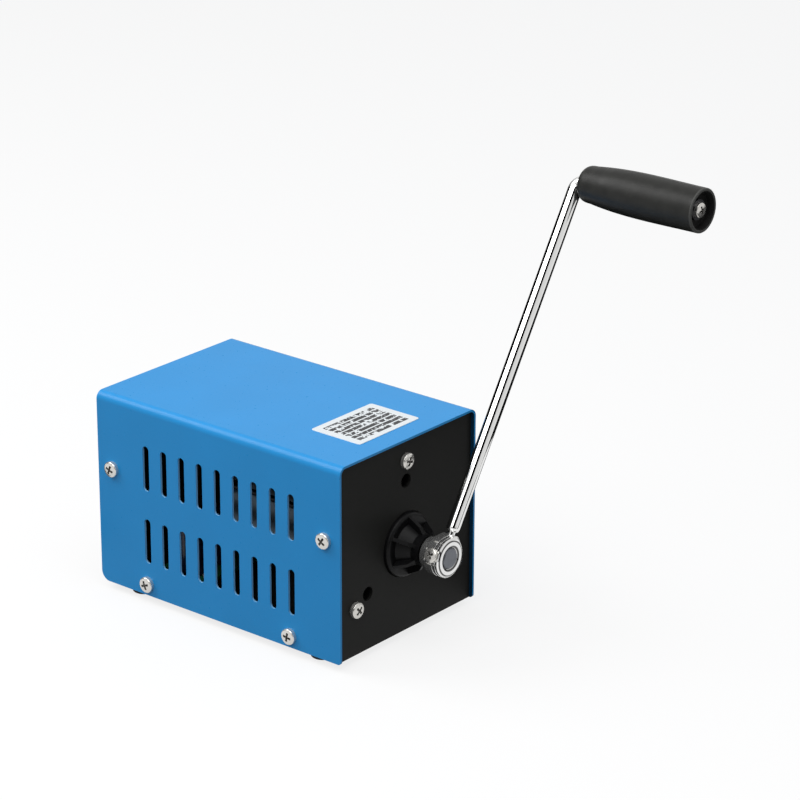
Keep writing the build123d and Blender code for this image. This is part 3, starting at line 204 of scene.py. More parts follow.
class HubSettings(bpy.types.PropertyGroup):
    """Sizes of the crank's hub."""

    collar_radius: size("Collar radius", "Radius of the collar", 0.0075)
    collar_length: size("Collar length", "Length of the collar", 0.0032)
    groove_radius: size("Groove radius", "Radius in the groove behind the eye", 0.0066)
    groove: size("Groove", "Width of the groove", 0.0008)
    eye_radius: size("Eye radius", "Radius of the eye", 0.0096)
    eye_thickness: size("Eye thickness", "Thickness of the eye", 0.0092)
    nose: size("Nose", "Distance of the eye's nose from the axis", 0.008)
    nose_radius: size("Nose radius", "Radius of the eye's nose", 0.0028)
    bore: size("Bore", "Radius of the bore", 0.00502)
    chamfer: size("Chamfer", "Chamfer round the eye's front", 0.0012)
    line: size("Line", "Depth and half width of the turned lines", 0.0003)
    line_back: size("Line back", "Distance of the turned lines from the front and each other", 0.0019)
    seat: size("Seat", "Distance of the set screw's seat from the axis", 0.009)
    seat_reach: size("Seat reach", "Half the length of the set screw's seat", 0.0037)
    screw_rise: tilt("Screw rise", "Turn of the set screw over level", 21.0)


class ScrewSettings(bpy.types.PropertyGroup):
    """Sizes of the pan head screws."""

    case_radius: size("Casing screw", "Thread radius of the casing's screws", 0.002)
    case_length: size("Casing screw length", "Length under the head", 0.008)
    case_head_radius: size("Casing screw head", "Radius of the casing screws' heads", 0.004)
    case_head_height: size("Casing head height", "Height of the casing screws' heads", 0.0026)
    side_height: size("Side height", "Height of the upper side screws over the casing's edge", 0.061)
    side_inset: size("Side inset", "Distance of the upper side screws from the casing's ends", 0.0095)
    low_height: size("Low height", "Height of the lower side screws over the casing's edge", 0.006)
    low_spread: size("Low spread", "Distance between the lower side screws", 0.092)
    front_circle: size("Front circle", "Radius of the circle of front screws", 0.0424)
    pitch: size("Pitch", "Thread pitch of the casing's screws", 0.0007)
    hub_radius: size("Hub screw", "Thread radius of the hub's screw", 0.002)
    hub_length: size("Hub screw length", "Length under the head", 0.0045)
    hub_head_radius: size("Hub screw head", "Radius of the hub screw's head", 0.0035)
    hub_head_height: size("Hub head height", "Height of the hub screw's head", 0.0019)
    grip_radius: size("Grip screw", "Thread radius of the grip's screw", 0.0015)
    grip_length: size("Grip screw length", "Length under the head", 0.012)
    grip_head_radius: size("Grip screw head", "Radius of the grip screw's head", 0.0037)
    grip_head_height: size("Grip head height", "Height of the grip screw's head", 0.0022)
    fine_pitch: size("Fine pitch", "Thread pitch of the grip's screw", 0.0005)


class LabelSettings(bpy.types.PropertyGroup):
    """Sizes of the foil label and of the feet."""

    corner: size("Corner", "Radius of the label's corners", 0.0015)
    margin: size("Margin", "Bare edge round the label's print", 0.0042)
    rows: IntProperty(name="Rows", description="Rows of marks on the label", default=7, min=1, max=12)
    foot_radius: size("Foot radius", "Radius of the feet at the casing", 0.0065)
    foot_taper: size("Foot taper", "How much narrower the feet are at the floor", 0.0006)
    foot_recess: size("Foot recess", "Radius of the feet's screw recess", 0.0033)
    foot_depth: size("Foot depth", "Depth of the feet's screw recess", 0.0024)
    foot_hole: size("Foot hole", "Radius of the feet's screw hole", 0.0017)


class ColourSettings(bpy.types.PropertyGroup):
    """Main colours."""

    paint: colour("Paint", "Blue of the cover", (0.014, 0.262, 0.62))
    black: colour("Black", "Black of the end panels", (0.0098, 0.01, 0.0092))
    grip: colour("Grip", "Black of the grip", (0.0135, 0.0135, 0.012))
    label: colour("Label", "Foil of the label", (0.74, 0.78, 0.8))
    chrome: colour("Chrome", "Plating of the crank", (0.84, 0.84, 0.83))
    screw: colour("Screw", "Zinc of the screws", (0.74, 0.72, 0.68))


class StageSettings(bpy.types.PropertyGroup):
    """Camera and lights."""

    lens: FloatProperty(name="Lens", description="Focal length", default=144.07, unit="CAMERA")
    bearing: tilt("Bearing", "Camera's turn round the casing", -50.596)
    elevation: tilt("Elevation", "Camera's height as an angle", 21.092)
    roll: tilt("Roll", "Camera's turn round its view", 0.17)
    distance: size("Distance", "From the middle of the casing's floor to the camera", 1.57045)
    shift: size("Shift", "Camera's move to its right", 0.05547)
    rise: size("Rise", "Camera's move to its top", 0.09205)
    key: power("Key", "Power of the lamp overhead", 7.0)
    fill: power("Fill", "Power of the lamp on the left", 2.6)
    rim: power("Rim", "Power of the lamp behind", 9.0)
    sky: FloatProperty(name="Sky", description="Strength of the even light", default=0.5)


class HandCrankSettings(bpy.types.PropertyGroup):
    """Everything that a user can change."""

    grip: PointerProperty(type=GripSettings)
    rod: PointerProperty(type=RodSettings)
    hub: PointerProperty(type=HubSettings)
    screws: PointerProperty(type=ScrewSettings)
    label: PointerProperty(type=LabelSettings)
    colours: PointerProperty(type=ColourSettings)
    stage: PointerProperty(type=StageSettings)


# ---- Surfaces ----
def softened(corners, reach, steps=5):
    """Rounds a polyline's corners, whole arrays at once.

    Each corner becomes the quadratic curve between the points that lie reach before and after it:
    (1-t)^2 before + 2t(1-t) corner + t^2 after, for t from 0 to 1."""
    corners = np.asarray(corners, float)
    reach = np.asarray(reach, float)[:, None]
    toward = np.vstack([corners[:1], corners[:-1]]) - corners
    onward = np.vstack([corners[1:], corners[-1:]]) - corners
    toward /= np.maximum(np.linalg.norm(toward, axis=1, keepdims=True), 1e-12)
    onward /= np.maximum(np.linalg.norm(onward, axis=1, keepdims=True), 1e-12)
    before, after = corners + toward * reach, corners + onward * reach
    t = np.linspace(0, 1, steps)[None, :, None]
    curve = (1 - t) ** 2 * before[:, None] + 2 * t * (1 - t) * corners[:, None] + t**2 * after[:, None]
    return curve.reshape(-1, corners.shape[1])


def quilt(points, closed=False):
    """Quads between the neighbours of a grid of points whose columns run round and meet.

    closed joins the last row to the first as well. Gives the points and the quads' corner numbers."""
    rows, columns = points.shape[:2]
    number = np.arange(rows * columns).reshape(rows, columns)
    number = np.hstack([number, number[:, :1]])
    if closed:
        number = np.vstack([number, number[:1]])
    quads = np.stack([number[:-1, :-1], number[:-1, 1:], number[1:, 1:], number[1:, :-1]], axis=-1)
    return points.reshape(-1, 3), quads.reshape(-1, 4)


def across(axis):
    """Two directions square to an axis and to each other, the first upward unless the axis is upright."""
    start = SIDEWAYS if abs(axis @ UP) > 0.99 else UP
    first = start - axis * (start @ axis)
    first = first / np.linalg.norm(first)
    return first, np.cross(axis, first)


def turned(profile, origin, axis, columns, bulge=None):
    """Surface of revolution: origin + distance * axis + (radius + bulge) * (cos a, sin a) round the axis.

    profile is rows of distance and radius that run round the section, and bulge, if given, adds to the
    radius by distance and angle."""
    distance, radius = profile.T
    angle = np.linspace(0, FULL_TURN, columns, endpoint=False)
    first, second = across(axis)
    round_about = np.cos(angle)[:, None] * first + np.sin(angle)[:, None] * second
    reach = np.repeat(radius[:, None], columns, axis=1)
    if bulge is not None:
        reach = reach + bulge(distance[:, None], angle[None, :])
    points = origin + distance[:, None, None] * axis + reach[:, :, None] * round_about[None]
    return quilt(points, closed=True)


def build(name, shells, slot, body, stands_for):
    """One mesh object from shells of points and quads, merged, facing outward, riding on its body.

    A shell's third array, if it has one, is painted shade on its points, kept as a mesh attribute."""
    corners, quads, grime, total = [], [], [], 0
    for points, faces, *shade_layer in shells:
        corners.append(points)
        quads.append(faces + total)
        grime.append(shade_layer[0] if shade_layer else np.zeros(len(points)))
        total += len(points)
    mesh = bpy.data.meshes.new(name)
    mesh.from_pydata(np.vstack(corners), [], np.vstack(quads))
    if np.any(np.concatenate(grime)):
        mesh.attributes.new("grime", "FLOAT", "POINT").data.foreach_set("value", np.concatenate(grime))
    tidy = bmesh.new()
    tidy.from_mesh(mesh)
    bmesh.ops.remove_doubles(tidy, verts=tidy.verts, dist=2e-7)
    bmesh.ops.dissolve_degenerate(tidy, edges=tidy.edges, dist=1e-8)
    bmesh.ops.recalc_face_normals(tidy, faces=tidy.faces)
    tidy.to_mesh(mesh)
    tidy.free()
    mesh.polygons.foreach_set("use_smooth", np.ones(len(mesh.polygons), bool))
    mesh.set_sharp_from_angle(angle=CREASE)
    mesh.materials.append(bpy.data.materials[slot + "_finish"])
    made = bpy.data.objects.new(name, mesh)
    bpy.context.scene.collection.objects.link(made)
    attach(made, body)
    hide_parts(*stands_for)


def pan_screw(origin, axis, sizes, spin):
    """Shell of a cross recess pan head screw whose head stands on origin, points along axis and is spun.

    Columns follow the recess: a wing is wing / r wide as an angle, so the columns at one share of
    asin(wing / r) stay beside the wing's edge at every radius, and the rest share what is left up to
    45 degrees. The head is height * (1 - dome (r / head)^2) with a rounded rim, less the recess, whose
    floor rises from its full depth at the middle. The thread's radius falls from its crest by
    |2 frac(z / pitch + a / full turn) - 1|."""
    shank, length, head, height, pitch = sizes
    wing, span, depth = head * WING, head * WING_SPAN, height * RECESS_DEPTH
    radius = head * RINGS_ON_HEAD[:, None]
    edge = np.minimum(np.arcsin(np.minimum(1.0, wing / radius)), math.pi / 4 * 0.96)
    half = np.hstack([edge * np.array([0, 0.6, 0.93]), edge + (math.pi / 4 - edge) * np.array([0, 0.5, 1])])
    in_half = np.array([1, 1, 1, 0, 0, 0])
    wing_angle = np.hstack([-half[:, -2:0:-1], half])
    in_wing = np.tile(np.concatenate([in_half[-2:0:-1], in_half]), 4)[None, :]
    angle = np.hstack([wing_angle + math.pi / 2 * side for side in range(4)])
    recess = np.maximum(in_wing, radius < wing) * (radius < span * 0.99)
    top = height * (1 - DOME * (radius / head) ** 2) - recess * depth * (1 - RECESS_SLOPE * radius / span)
    rim_height = height * (1 - DOME * DOME_EDGE**2)
    rim = softened(
        [(head * DOME_EDGE, rim_height), (head, rim_height * 0.86), (head, 0.0), (shank, 0.0)],
        [0.0, height * 0.16, 0.0, 0.0],
    )
    drop = np.arange(0, length, pitch / 4)
    shaft = np.stack([np.full(len(drop), shank), -drop], axis=1)
    lower = np.vstack([rim, shaft, [(shank * 0.72, -length), (1e-6, -length)]])
    base = angle[-1][None, :]
    reach = np.repeat(lower[:, :1], angle.shape[1], axis=1)
    height_of = np.repeat(lower[:, 1:], angle.shape[1], axis=1)
    threaded = np.zeros((len(lower), 1))
    threaded[len(rim) + 1 : -2] = 1
    reach = reach - threaded * np.abs(2 * ((height_of / pitch + base / FULL_TURN) % 1.0) - 1) * pitch * 0.45
    angle = np.vstack([angle, np.repeat(base, len(lower), axis=0)]) + spin
    reach = np.vstack([np.repeat(radius, angle.shape[1], axis=1), reach])
    height_of = np.vstack([top, height_of])
    first, second = across(axis)
    points = (
        origin
        + height_of[:, :, None] * axis
        + (reach * np.cos(angle))[:, :, None] * first
        + (reach * np.sin(angle))[:, :, None] * second
    )
    # Painted shade: the cross recess is painted dark, and from the rim's foot down the shank at 0.7, a
    # painted contact shadow round the head.
    grime = np.zeros(points.shape[:2])
    grime[: len(radius)] = recess
    grime[len(radius) + len(rim) - 2 :] = 0.7
    return *quilt(points), grime.ravel()


def plate(low, high, corner, edge):
    """Shell of a flat plate: a rounded rectangle drawn in by edge at its upper rim, closed top and foot.

    The outline is the corner's middle plus corner * (cos a, sin a), a quarter turn for each corner."""
    quarter = np.linspace(0, math.pi / 2, 9)
    angle = np.concatenate([quarter + math.pi / 2 * side for side in range(4)])
    sign = np.repeat([(1, 1), (-1, 1), (-1, -1), (1, -1)], len(quarter), axis=0)
    middle, half = (low + high) / 2, (high - low) / 2
    round_about = np.stack([np.cos(angle), np.sin(angle)], axis=1)
    rows = []
    for height, inset in ((low[2], 0.0), (high[2] - edge, 0.0), (high[2], edge)):
        flat = middle[:2] + sign * (half[:2] - corner) + round_about * (corner - inset)
        rows.append(np.column_stack([flat, np.full(len(flat), height)]))
    top, foot = np.array(rows[-1]), np.array(rows[0])
    top[:, :2] = foot[:, :2] = middle[:2]
    return quilt(np.stack([foot, *rows, top]))


# ---- Finishes ----
class Value:
    """A shader value of one finish. Sums written with it add Math nodes."""

    def __init__(self, finish, socket):
        self.finish = finish
        self.socket = socket

    def maths(self, operation, first, second=0.0):
        """A Math node on two values or numbers."""
        return self.finish.node("ShaderNodeMath", {"operation": operation}, {0: first, 1: second})

    def __add__(self, other):
        return self.maths("ADD", self, other)

    def __sub__(self, other):
        return self.maths("SUBTRACT", self, other)

    def __rsub__(self, other):
        return self.maths("SUBTRACT", other, self)

    def __mul__(self, other):
        return self.maths("MULTIPLY", self, other)

    def __pow__(self, other):
        return self.maths("POWER", self, other)

    def __lt__(self, other):
        return self.maths("LESS_THAN", self, other)

    def __abs__(self):
        return self.maths("ABSOLUTE", self)

    def at_least(self, other):
        """The larger of two."""
        return self.maths("MAXIMUM", self, other)

    def at_most(self, other):
        """The smaller of two."""
        return self.maths("MINIMUM", self, other)

    __radd__ = __add__
    __rmul__ = __mul__


class Finish:
    """One material: its nodes, the place on the object in metres, and its shader."""

    def __init__(self, slot, metallic=0.0, **uniform):
        self.material = bpy.data.materials.new(slot + "_finish")
        self.material.use_nodes = True
        self.tree = self.material.node_tree
        self.tree.nodes.clear()
        self.place = self.node("ShaderNodeTexCoord", output="Object")
        self.shader = self.tree.nodes.new("ShaderNodeBsdfPrincipled")
        self.shader.inputs["Metallic"].default_value = metallic
        for name, number in uniform.items():
            self.shader.inputs[name.replace("_", " ")].default_value = number
        result = self.tree.nodes.new("ShaderNodeOutputMaterial")
        self.tree.links.new(self.shader.outputs[0], result.inputs[0])

    def fill(self, socket, value):
        """Links a value to a socket, or sets a number or colour on it."""
        if isinstance(value, Value):
            self.tree.links.new(value.socket, socket)
        elif socket.type == "RGBA":
            socket.default_value = (*value[:3], 1.0)
        else:
            socket.default_value = value

    def node(self, kind, settings=None, inputs=None, output=0):
        """Adds a node of a type: its settings first, then its sockets' values or links."""
        made = self.tree.nodes.new(kind)
        for name, setting in (settings or {}).items():
            setattr(made, name, setting)
        for name, value in (inputs or {}).items():
            self.fill(made.inputs[name], value)
        return Value(self, made.outputs[output])

    def surface(self, **inputs):
        """Fills the shader's own sockets, such as Base_Color."""
        for name, value in inputs.items():
            self.fill(self.shader.inputs[name.replace("_", " ")], value)

    def moved(self, middle=(0, 0, 0), stretch=(1, 1, 1)):
        """The place measured from middle, drawn out by stretch."""
        shift = tuple(-m * s for m, s in zip(middle, stretch))
        inputs = {"Vector": self.place, "Location": shift, "Scale": stretch}
        return self.node("ShaderNodeMapping", {}, inputs)

    def noise(self, patch, detail, stretch=None):
        """Noise from 0 to 1 in patches of about that many metres."""
        spot = self.moved(stretch=stretch) if stretch else self.place
        return self.node("ShaderNodeTexNoise", {}, {"Vector": spot, "Scale": 1 / patch, "Detail": detail})

    def ease(self, value, low, high):
        """0 up to low, 1 from high on, and smooth between."""
        return self.node(
            "ShaderNodeMapRange",
            {"interpolation_type": "SMOOTHSTEP"},
            {"Value": value, "From Min": low, "From Max": high},
        )

    def mix(self, first, second, share):
        """The colour between two colours."""
        return self.node("ShaderNodeMix", {"data_type": "RGBA"}, {0: share, 6: first, 7: second}, output=2)

    def relief(self, height, depth):
        """A bumped normal from a height in which 1 is depth metres."""
        return self.node("ShaderNodeBump", {}, {"Height": height, "Distance": depth})

    def parts_of(self, vector):
        """The three numbers of a vector."""
        return [self.node("ShaderNodeSeparateXYZ", {}, {0: vector}, output=axis) for axis in range(3)]

    def round_axis(self, origin):
        """Distances along and out from the line through origin that runs along Y, as values."""
        side, along, up = self.parts_of(self.moved(tuple(origin)))
        return along, (side * side + up * up) ** 0.5

    def dust(self):
        """Patches of fine dust, 1 where it lies."""
        return self.ease(self.noise(0.0012, 4.0), 0.62, 0.78)

    def grime(self):
        """The mesh's own painted shade, marked on its points in recesses, grooves and round the foot of
        screw heads.
        """
        return self.node("ShaderNodeAttribute", {"attribute_name": "grime"}, output="Fac")


def shaded(shade, share):
    """A colour made lighter or darker by a share."""
    return tuple(min(1.0, part * share) for part in shade[:3])


def powder_coat(slot, shade, gloss, peel, patch, level):
    """Powder coat: a peel of small waves, faint clouding, and fine dust in the roughness."""
    finish = Finish(slot, Specular_IOR_Level=level)
    cloud = finish.noise(0.03, 3.0)
    waves = finish.noise(patch, 2.0)
    dust = finish.dust()
    tint = finish.mix(shaded(shade, 0.9), shaded(shade, 1.1), cloud)
    finish.surface(
        Base_Color=finish.mix(tint, shaded(shade, 1.5), dust * 0.35),
        Roughness=gloss + (waves - 0.5) * 0.12 + dust * 0.15,
        Normal=finish.relief(waves, peel),
    )


def cover_paint(slot, shade):
    """The cover's powder coat, blue outside and painted shade, a near black, on the faces inside the folded
    sheet.

    Inside means nearer than bend - wall to the box that is drawn in by the bend's radius, and what lies
    between that and the outer face is the slots' cut edges, which get a pale painted highlight."""
    finish = Finish(slot, Specular_IOR_Level=0.22)
    side, along, up = finish.parts_of(finish.moved((CASING_MIDDLE[0], CASING_MIDDLE[1], COVER_HIGH[2])))
    half_width, half_length = (COVER_HIGH[:2] - COVER_LOW[:2]) / 2
    out = (abs(side) - (half_width - COVER_BEND)).at_least(0.0)
    over = (up + COVER_BEND).at_least(0.0)
    reach = (out * out + over * over) ** 0.5
    inside = reach < COVER_BEND - COVER_WALL
    cut = (reach < COVER_BEND - CUT_SKIN) * (abs(along) < half_length - CUT_ENDS)
    cloud, waves = finish.noise(0.03, 3.0), finish.noise(0.0011, 2.0)
    dust = finish.dust()
    tint = finish.mix(shaded(shade, 0.94), shaded(shade, 1.05), cloud)
    tint = finish.mix(tint, shaded(shade, 1.4), dust * 0.25)
    # Painted highlight: the slots' cut edges are painted pale blue.
    tint = finish.mix(tint, (0.3, 0.6, 0.9), cut * 0.7)
    finish.surface(
        # Painted shade: the faces inside the folded sheet are painted near black.
        Base_Color=finish.mix(tint, shaded(shade, 0.06), inside * 0.92),
        Roughness=0.3 + (waves - 0.5) * 0.12 + dust * 0.15,
        Normal=finish.relief(waves, 0.000012),
    )


def plated(slot, shade, gloss):
    """Polished chrome on the rod, a duller hub, and painted shade: dark rings round its face and in its
    turned lines.
    """
    finish = Finish(slot)
    _, reach = finish.round_axis(CRANK_AXIS)
    hub = bpy.context.scene.hand_crank.hub
    dull = reach < hub.nose + hub.nose_radius + 0.0004
    swirl, stains = finish.noise(0.003, 2.0), finish.noise(0.007, 4.0)
    # Painted shade: dark rings painted at the edge of the eye's front face and round the bore, joined by
    # the mesh's painted shade in the turned lines.
    painted_shade_rings = 0.0
    for radius, width in ((hub.eye_radius - hub.chamfer, 0.0005), (hub.bore + 0.0008, 0.0007)):
        painted_shade_rings = finish.ease(abs(reach - radius), width, width * 0.4) + painted_shade_rings
    painted_shade_rings = painted_shade_rings.at_least(finish.grime())
    plating = finish.mix(shade, shaded(shade, 0.94), stains)
    finish.surface(
        Base_Color=finish.mix(plating, (0.01, 0.01, 0.01), painted_shade_rings * 0.9),
        Metallic=1 - dull * 0.08,
        Roughness=gloss + dull * 0.06 + (swirl - 0.5) * 0.03 + stains * 0.03,
        Normal=finish.relief(swirl, 0.0000008),
    )


def grip_skin(slot, shade):
    """The grip's moulded skin: grain, slow clouds, rubbed patches, a painted highlight on the rim and
    painted shade darkening the dished end.
    """
    finish = Finish(slot, Specular_IOR_Level=0.24)
    along, reach = finish.round_axis(GRIP_AXIS)
    grip = bpy.context.scene.hand_crank.grip
    # Painted shade: the dished end is painted darker and made rougher.
    dished = (reach < grip.outer_radius - grip.rim * 0.9) * (along < -grip.length / 2)
    # Painted highlight: a pale line painted round the edge of the dished end.
    rim = finish.ease(along, -grip.length + 0.0011, -grip.length + 0.0003) * (1 - dished)
    grains, flow = finish.noise(0.0006, 3.0), finish.noise(0.006, 5.0)
    rubbed = finish.ease(finish.noise(0.004, 3.0), 0.5, 0.75)
    skin = finish.mix(shaded(shade, 0.35), shaded(shade, 1.8), flow)
    skin = finish.mix(skin, (0.11, 0.11, 0.105), rim * 0.6)
    finish.surface(
        Base_Color=finish.mix(skin, shaded(shade, 0.1), dished),
        Roughness=0.42 + (grains - 0.5) * 0.16 - rubbed * 0.08 + dished * 0.3,
        Normal=finish.relief(grains, 0.00002),
    )


def moulded(slot, shade, gloss, grain, patch, level, **uniform):
    """Moulded plastic or rubber: fine grain, slow changes of shade, and a few polished spots."""
    finish = Finish(slot, Specular_IOR_Level=level, **uniform)
    grains = finish.noise(patch, 3.0)
    flow = finish.noise(0.011, 4.0)
    rubbed = finish.ease(finish.noise(0.004, 2.0), 0.5, 0.75)
    finish.surface(
        Base_Color=finish.mix(shaded(shade, 0.75), shaded(shade, 1.3), flow),
        Roughness=gloss + (grains - 0.5) * 0.16 - rubbed * 0.07,
        Normal=finish.relief(grains, grain),
    )


def bare_metal(slot, shade, gloss, grain, stretch, patch, metallic=1.0):
    """Bare or plated metal: drawn lines along the stretched axis, stains, and painted shade from the mesh's
    own shade attribute in recesses, grooves and under screw heads.
    """
    finish = Finish(slot, metallic=metallic)
    lines = finish.noise(patch, 2.0, stretch)
    stains = finish.noise(0.007, 4.0)
    spots = finish.ease(finish.noise(0.0015, 3.0), 0.6, 0.8)
    # Painted shade: the points that the mesh marks are painted near black.
    grime = finish.grime()
    stained = finish.mix(shade, shaded(shade, 1 - METAL_STAIN), stains)
    finish.surface(
        Base_Color=finish.mix(stained, shaded(shade, 0.05), grime * 0.92),
        Roughness=gloss + (lines - 0.5) * 0.1 + spots * METAL_STAIN,
        Normal=finish.relief(lines, grain),
    )


def turned_steel(slot, shade, gloss):
    """Ground steel whose end faces show fine rings round the crank's axis."""
    finish = Finish(slot, metallic=1.0)
    _, reach = finish.round_axis(CRANK_AXIS)
    rings = finish.node("ShaderNodeMath", {"operation": "SINE"}, {0: reach * (FULL_TURN / 0.00045)})
    stains = finish.noise(0.004, 4.0)
    finish.surface(
        Base_Color=finish.mix(shade, shaded(shade, 0.7), stains),
        Roughness=gloss + stains * 0.12,
        Normal=finish.relief(rings, 0.0000035),
    )


def printed_foil(slot, shade, settings):
    """Pale foil with rows of random dark marks that spell nothing."""
    low, high = (np.array(corner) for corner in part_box("label_plate"))
    middle, half = (low + high) / 2, (high - low) / 2
    finish = Finish(slot, Specular_IOR_Level=0.5)
    side, along, _ = finish.parts_of(finish.moved(tuple(middle)))
    half_print = half[:2] - settings.margin * np.array([1, 0.7])
    inside = (abs(side) < half_print[0]) * (abs(along) < half_print[1])
    pitch = 2 * half_print[1] / settings.rows
    # A saw of 0 to half a pitch and back, kept above zero by the shift.
    saw = finish.node("ShaderNodeMath", {"operation": "PINGPONG"}, {0: along + half[1] * 3, 1: pitch / 2})
    rows = inside * (saw < pitch * 0.37)
    marks = finish.ease(finish.noise(0.0016, 2.0, (1, 0.6, 1)), 0.43, 0.46)
    print_mask = rows * marks
    brushed = finish.noise(0.0004, 2.0, (0.04, 1, 1))
    foil = finish.mix(shaded(shade, 0.93), shaded(shade, 1.05), brushed)
    finish.surface(
        Base_Color=finish.mix(foil, (0.012, 0.012, 0.014), print_mask),
        Metallic=0.15 * (1 - print_mask),
        Roughness=0.34 + brushed * 0.1,
        Normal=finish.relief(brushed, 0.000004),
    )


class CRANK_OT_finishes(bpy.types.Operator):
    """Makes a finish for each of the record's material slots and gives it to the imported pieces"""

    bl_idname = "hand_crank.finishes"
    bl_label = "Finishes"

    def execute(self, context):
        shades = context.scene.hand_crank.colours
        cover_paint("painted_blue", shades.paint)
        powder_coat("chassis_black", shades.black, 0.55, 0.00002, 0.0005, 0.12)
        grip_skin("grip_plastic", shades.grip)
        for slot, numbers in MOULDED.items():
            coat = WINDOW_COAT if slot == "window_red" else 0.0
            moulded(slot, *numbers, Coat_Weight=coat)
        plated("chrome", shades.chrome, 0.05)
        bare_metal("zinc_screw", shades.screw, 0.22, 0.000004, EVEN, 0.0004, metallic=0.75)
        for slot, numbers in METALS.items():
            bare_metal(slot, *numbers)
        turned_steel("shaft_steel", (0.19, 0.2, 0.22), 0.32)
        printed_foil("label_foil", shades.label, context.scene.hand_crank.label)
        for node in frame["nodes"].values():
            for slot in node.material_slots:
                slot.material = bpy.data.materials[slot.material.name + "_finish"]
        return {"FINISHED"}


# ---- Pieces ----
class CRANK_OT_grip(bpy.types.Operator):
    """Turns the hand grip, swelling by a cubic that ends level, with a round shoulder and a dished end"""

    bl_idname = "hand_crank.grip"
    bl_label = "Grip"

    def execute(self, context):
        s = context.scene.hand_crank.grip
        rod = context.scene.hand_crank.rod
        mouth, throat = rod.radius + 0.0005, 0.0016
        dish_radius = s.outer_radius - s.rim
        t = np.linspace(0, 1, 40)[:, None]
        gain = s.outer_radius - s.inner_radius
        cubic = 8 * (s.middle_radius - s.inner_radius) - 6 * gain
        along = s.inner_round + (s.length - 0.0007 - s.inner_round) * t
        rise = (2 * gain + cubic) * t - (gain + 2 * cubic) * t**2 + cubic * t**3
        swell = np.hstack([along, s.inner_radius + rise])
        shoulder = softened(
            [(0.0, mouth), (0.0, s.inner_radius), swell[1]],
            [0.0, s.inner_round * 0.98, 0.0],
            12,
        )[12:24]
        end = softened(
            [
                swell[-1],
                (s.length, s.outer_radius),
                (s.length, dish_radius),
                (s.length - s.dish, dish_radius - 0.0007),
                (s.length - s.dish, s.bore),
                (throat, s.bore),
                (throat, mouth),
                (0.0, mouth),
            ],
            [0.0, 0.0006, 0.0003, 0.0006, 0.0, 0.0, 0.0, 0.0],
        )
        profile = np.vstack([shoulder, swell[1:], end])

        def seam(distance, angle):
            """Two ridges on opposite sides: height * exp(-(sin a * 40)^2), only on the outside."""
            outside = (distance > s.inner_round) & (distance < s.length - 0.001)
            return s.seam * np.exp(-((np.sin(angle) * 40) ** 2)) * outside

        shell = turned(profile, GRIP_AXIS, FORWARD, columns=144, bulge=seam)
        build("tapered_grip", [shell], "grip_plastic", "hand_grip", ("grip",))
        return {"FINISHED"}


class CRANK_OT_rod(bpy.types.Operator):
    """Carries a round section along the bent crank rod, from the neck in the hub to the spindle"""

    bl_idname = "hand_crank.rod"
    bl_label = "Crank rod"

    def execute(self, context):
        # The middle line runs along the arm, then round the bend by an angle of distance / bend, then
        # forward. Each row is the middle + radius * (cos a * inward + sin a * sideways).
        s = context.scene.hand_crank.rod
        hub = context.scene.hand_crank.hub
        hub_front = CRANK_AXIS[1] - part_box("crank_hub")[0].y
        arm_station = hub_front - hub.eye_thickness / 2
        spindle_end = CRANK_AXIS[1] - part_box("crank_arm")[0].y - arm_station
        bend_start = ARM_LENGTH - s.bend
        bend_length = s.bend * math.pi / 2
        spindle_start = bend_start + bend_length + s.shoulder
        end = bend_start + bend_length + spindle_end - s.bend
        profile = softened(
            [
                (s.neck_start, 1e-6),
                (s.neck_start, s.neck_radius),
                (s.start, s.neck_radius),
                (s.start, s.radius - s.chamfer),
                (s.start + s.chamfer, s.radius),
                (bend_start, s.radius),
                (spindle_start, s.radius),
                (spindle_start, s.spindle_radius),
                (end, s.spindle_radius),
                (end, 1e-6),
            ],
            [0, 0.0002, 0.0003, 0.0002, 0.0008, 0, 0.0003, 0, 0.0003, 0],
        )
        straight = np.linspace(s.start + s.chamfer * 3, bend_start, 24)
        bend = np.linspace(bend_start, bend_start + bend_length, 20)
        between = np.concatenate([straight, bend[1:]])
        rows = np.vstack([profile, np.stack([between, np.full(len(between), s.radius)], axis=1)])
        # Up to the spindle the rows go by their distance. The spindle's own steps keep their order.
        before = rows[:, 0] < bend_start + bend_length + s.shoulder * 0.4
        order = np.argsort(rows[:, 0] + 1e-9 * np.arange(len(rows)), kind="stable")
        keep_order = np.concatenate([order[before[order]], np.flatnonzero(~before)])
        distance, radius = rows[keep_order].T
        run = np.minimum(distance, bend_start)
        angle = np.clip((distance - bend_start) / s.bend, 0, math.pi / 2)
        beyond = np.maximum(distance - bend_start - bend_length, 0)
        origin = CRANK_AXIS + FORWARD * arm_station
        middle = (
            origin
            + (run + s.bend * np.sin(angle))[:, None] * ARM
            + (s.bend * (1 - np.cos(angle)) + beyond)[:, None] * FORWARD
        )
        inward = -np.sin(angle)[:, None] * ARM + np.cos(angle)[:, None] * FORWARD
        sideways = np.cross(ARM, FORWARD)
        around = np.linspace(0, FULL_TURN, 64, endpoint=False)
        points = middle[:, None] + radius[:, None, None] * (
            np.cos(around)[None, :, None] * inward[:, None] + np.sin(around)[None, :, None] * sideways
        )
        build("bent_crank_rod", [quilt(points)], "chrome", "crank", ("crank_arm",))
        return {"FINISHED"}


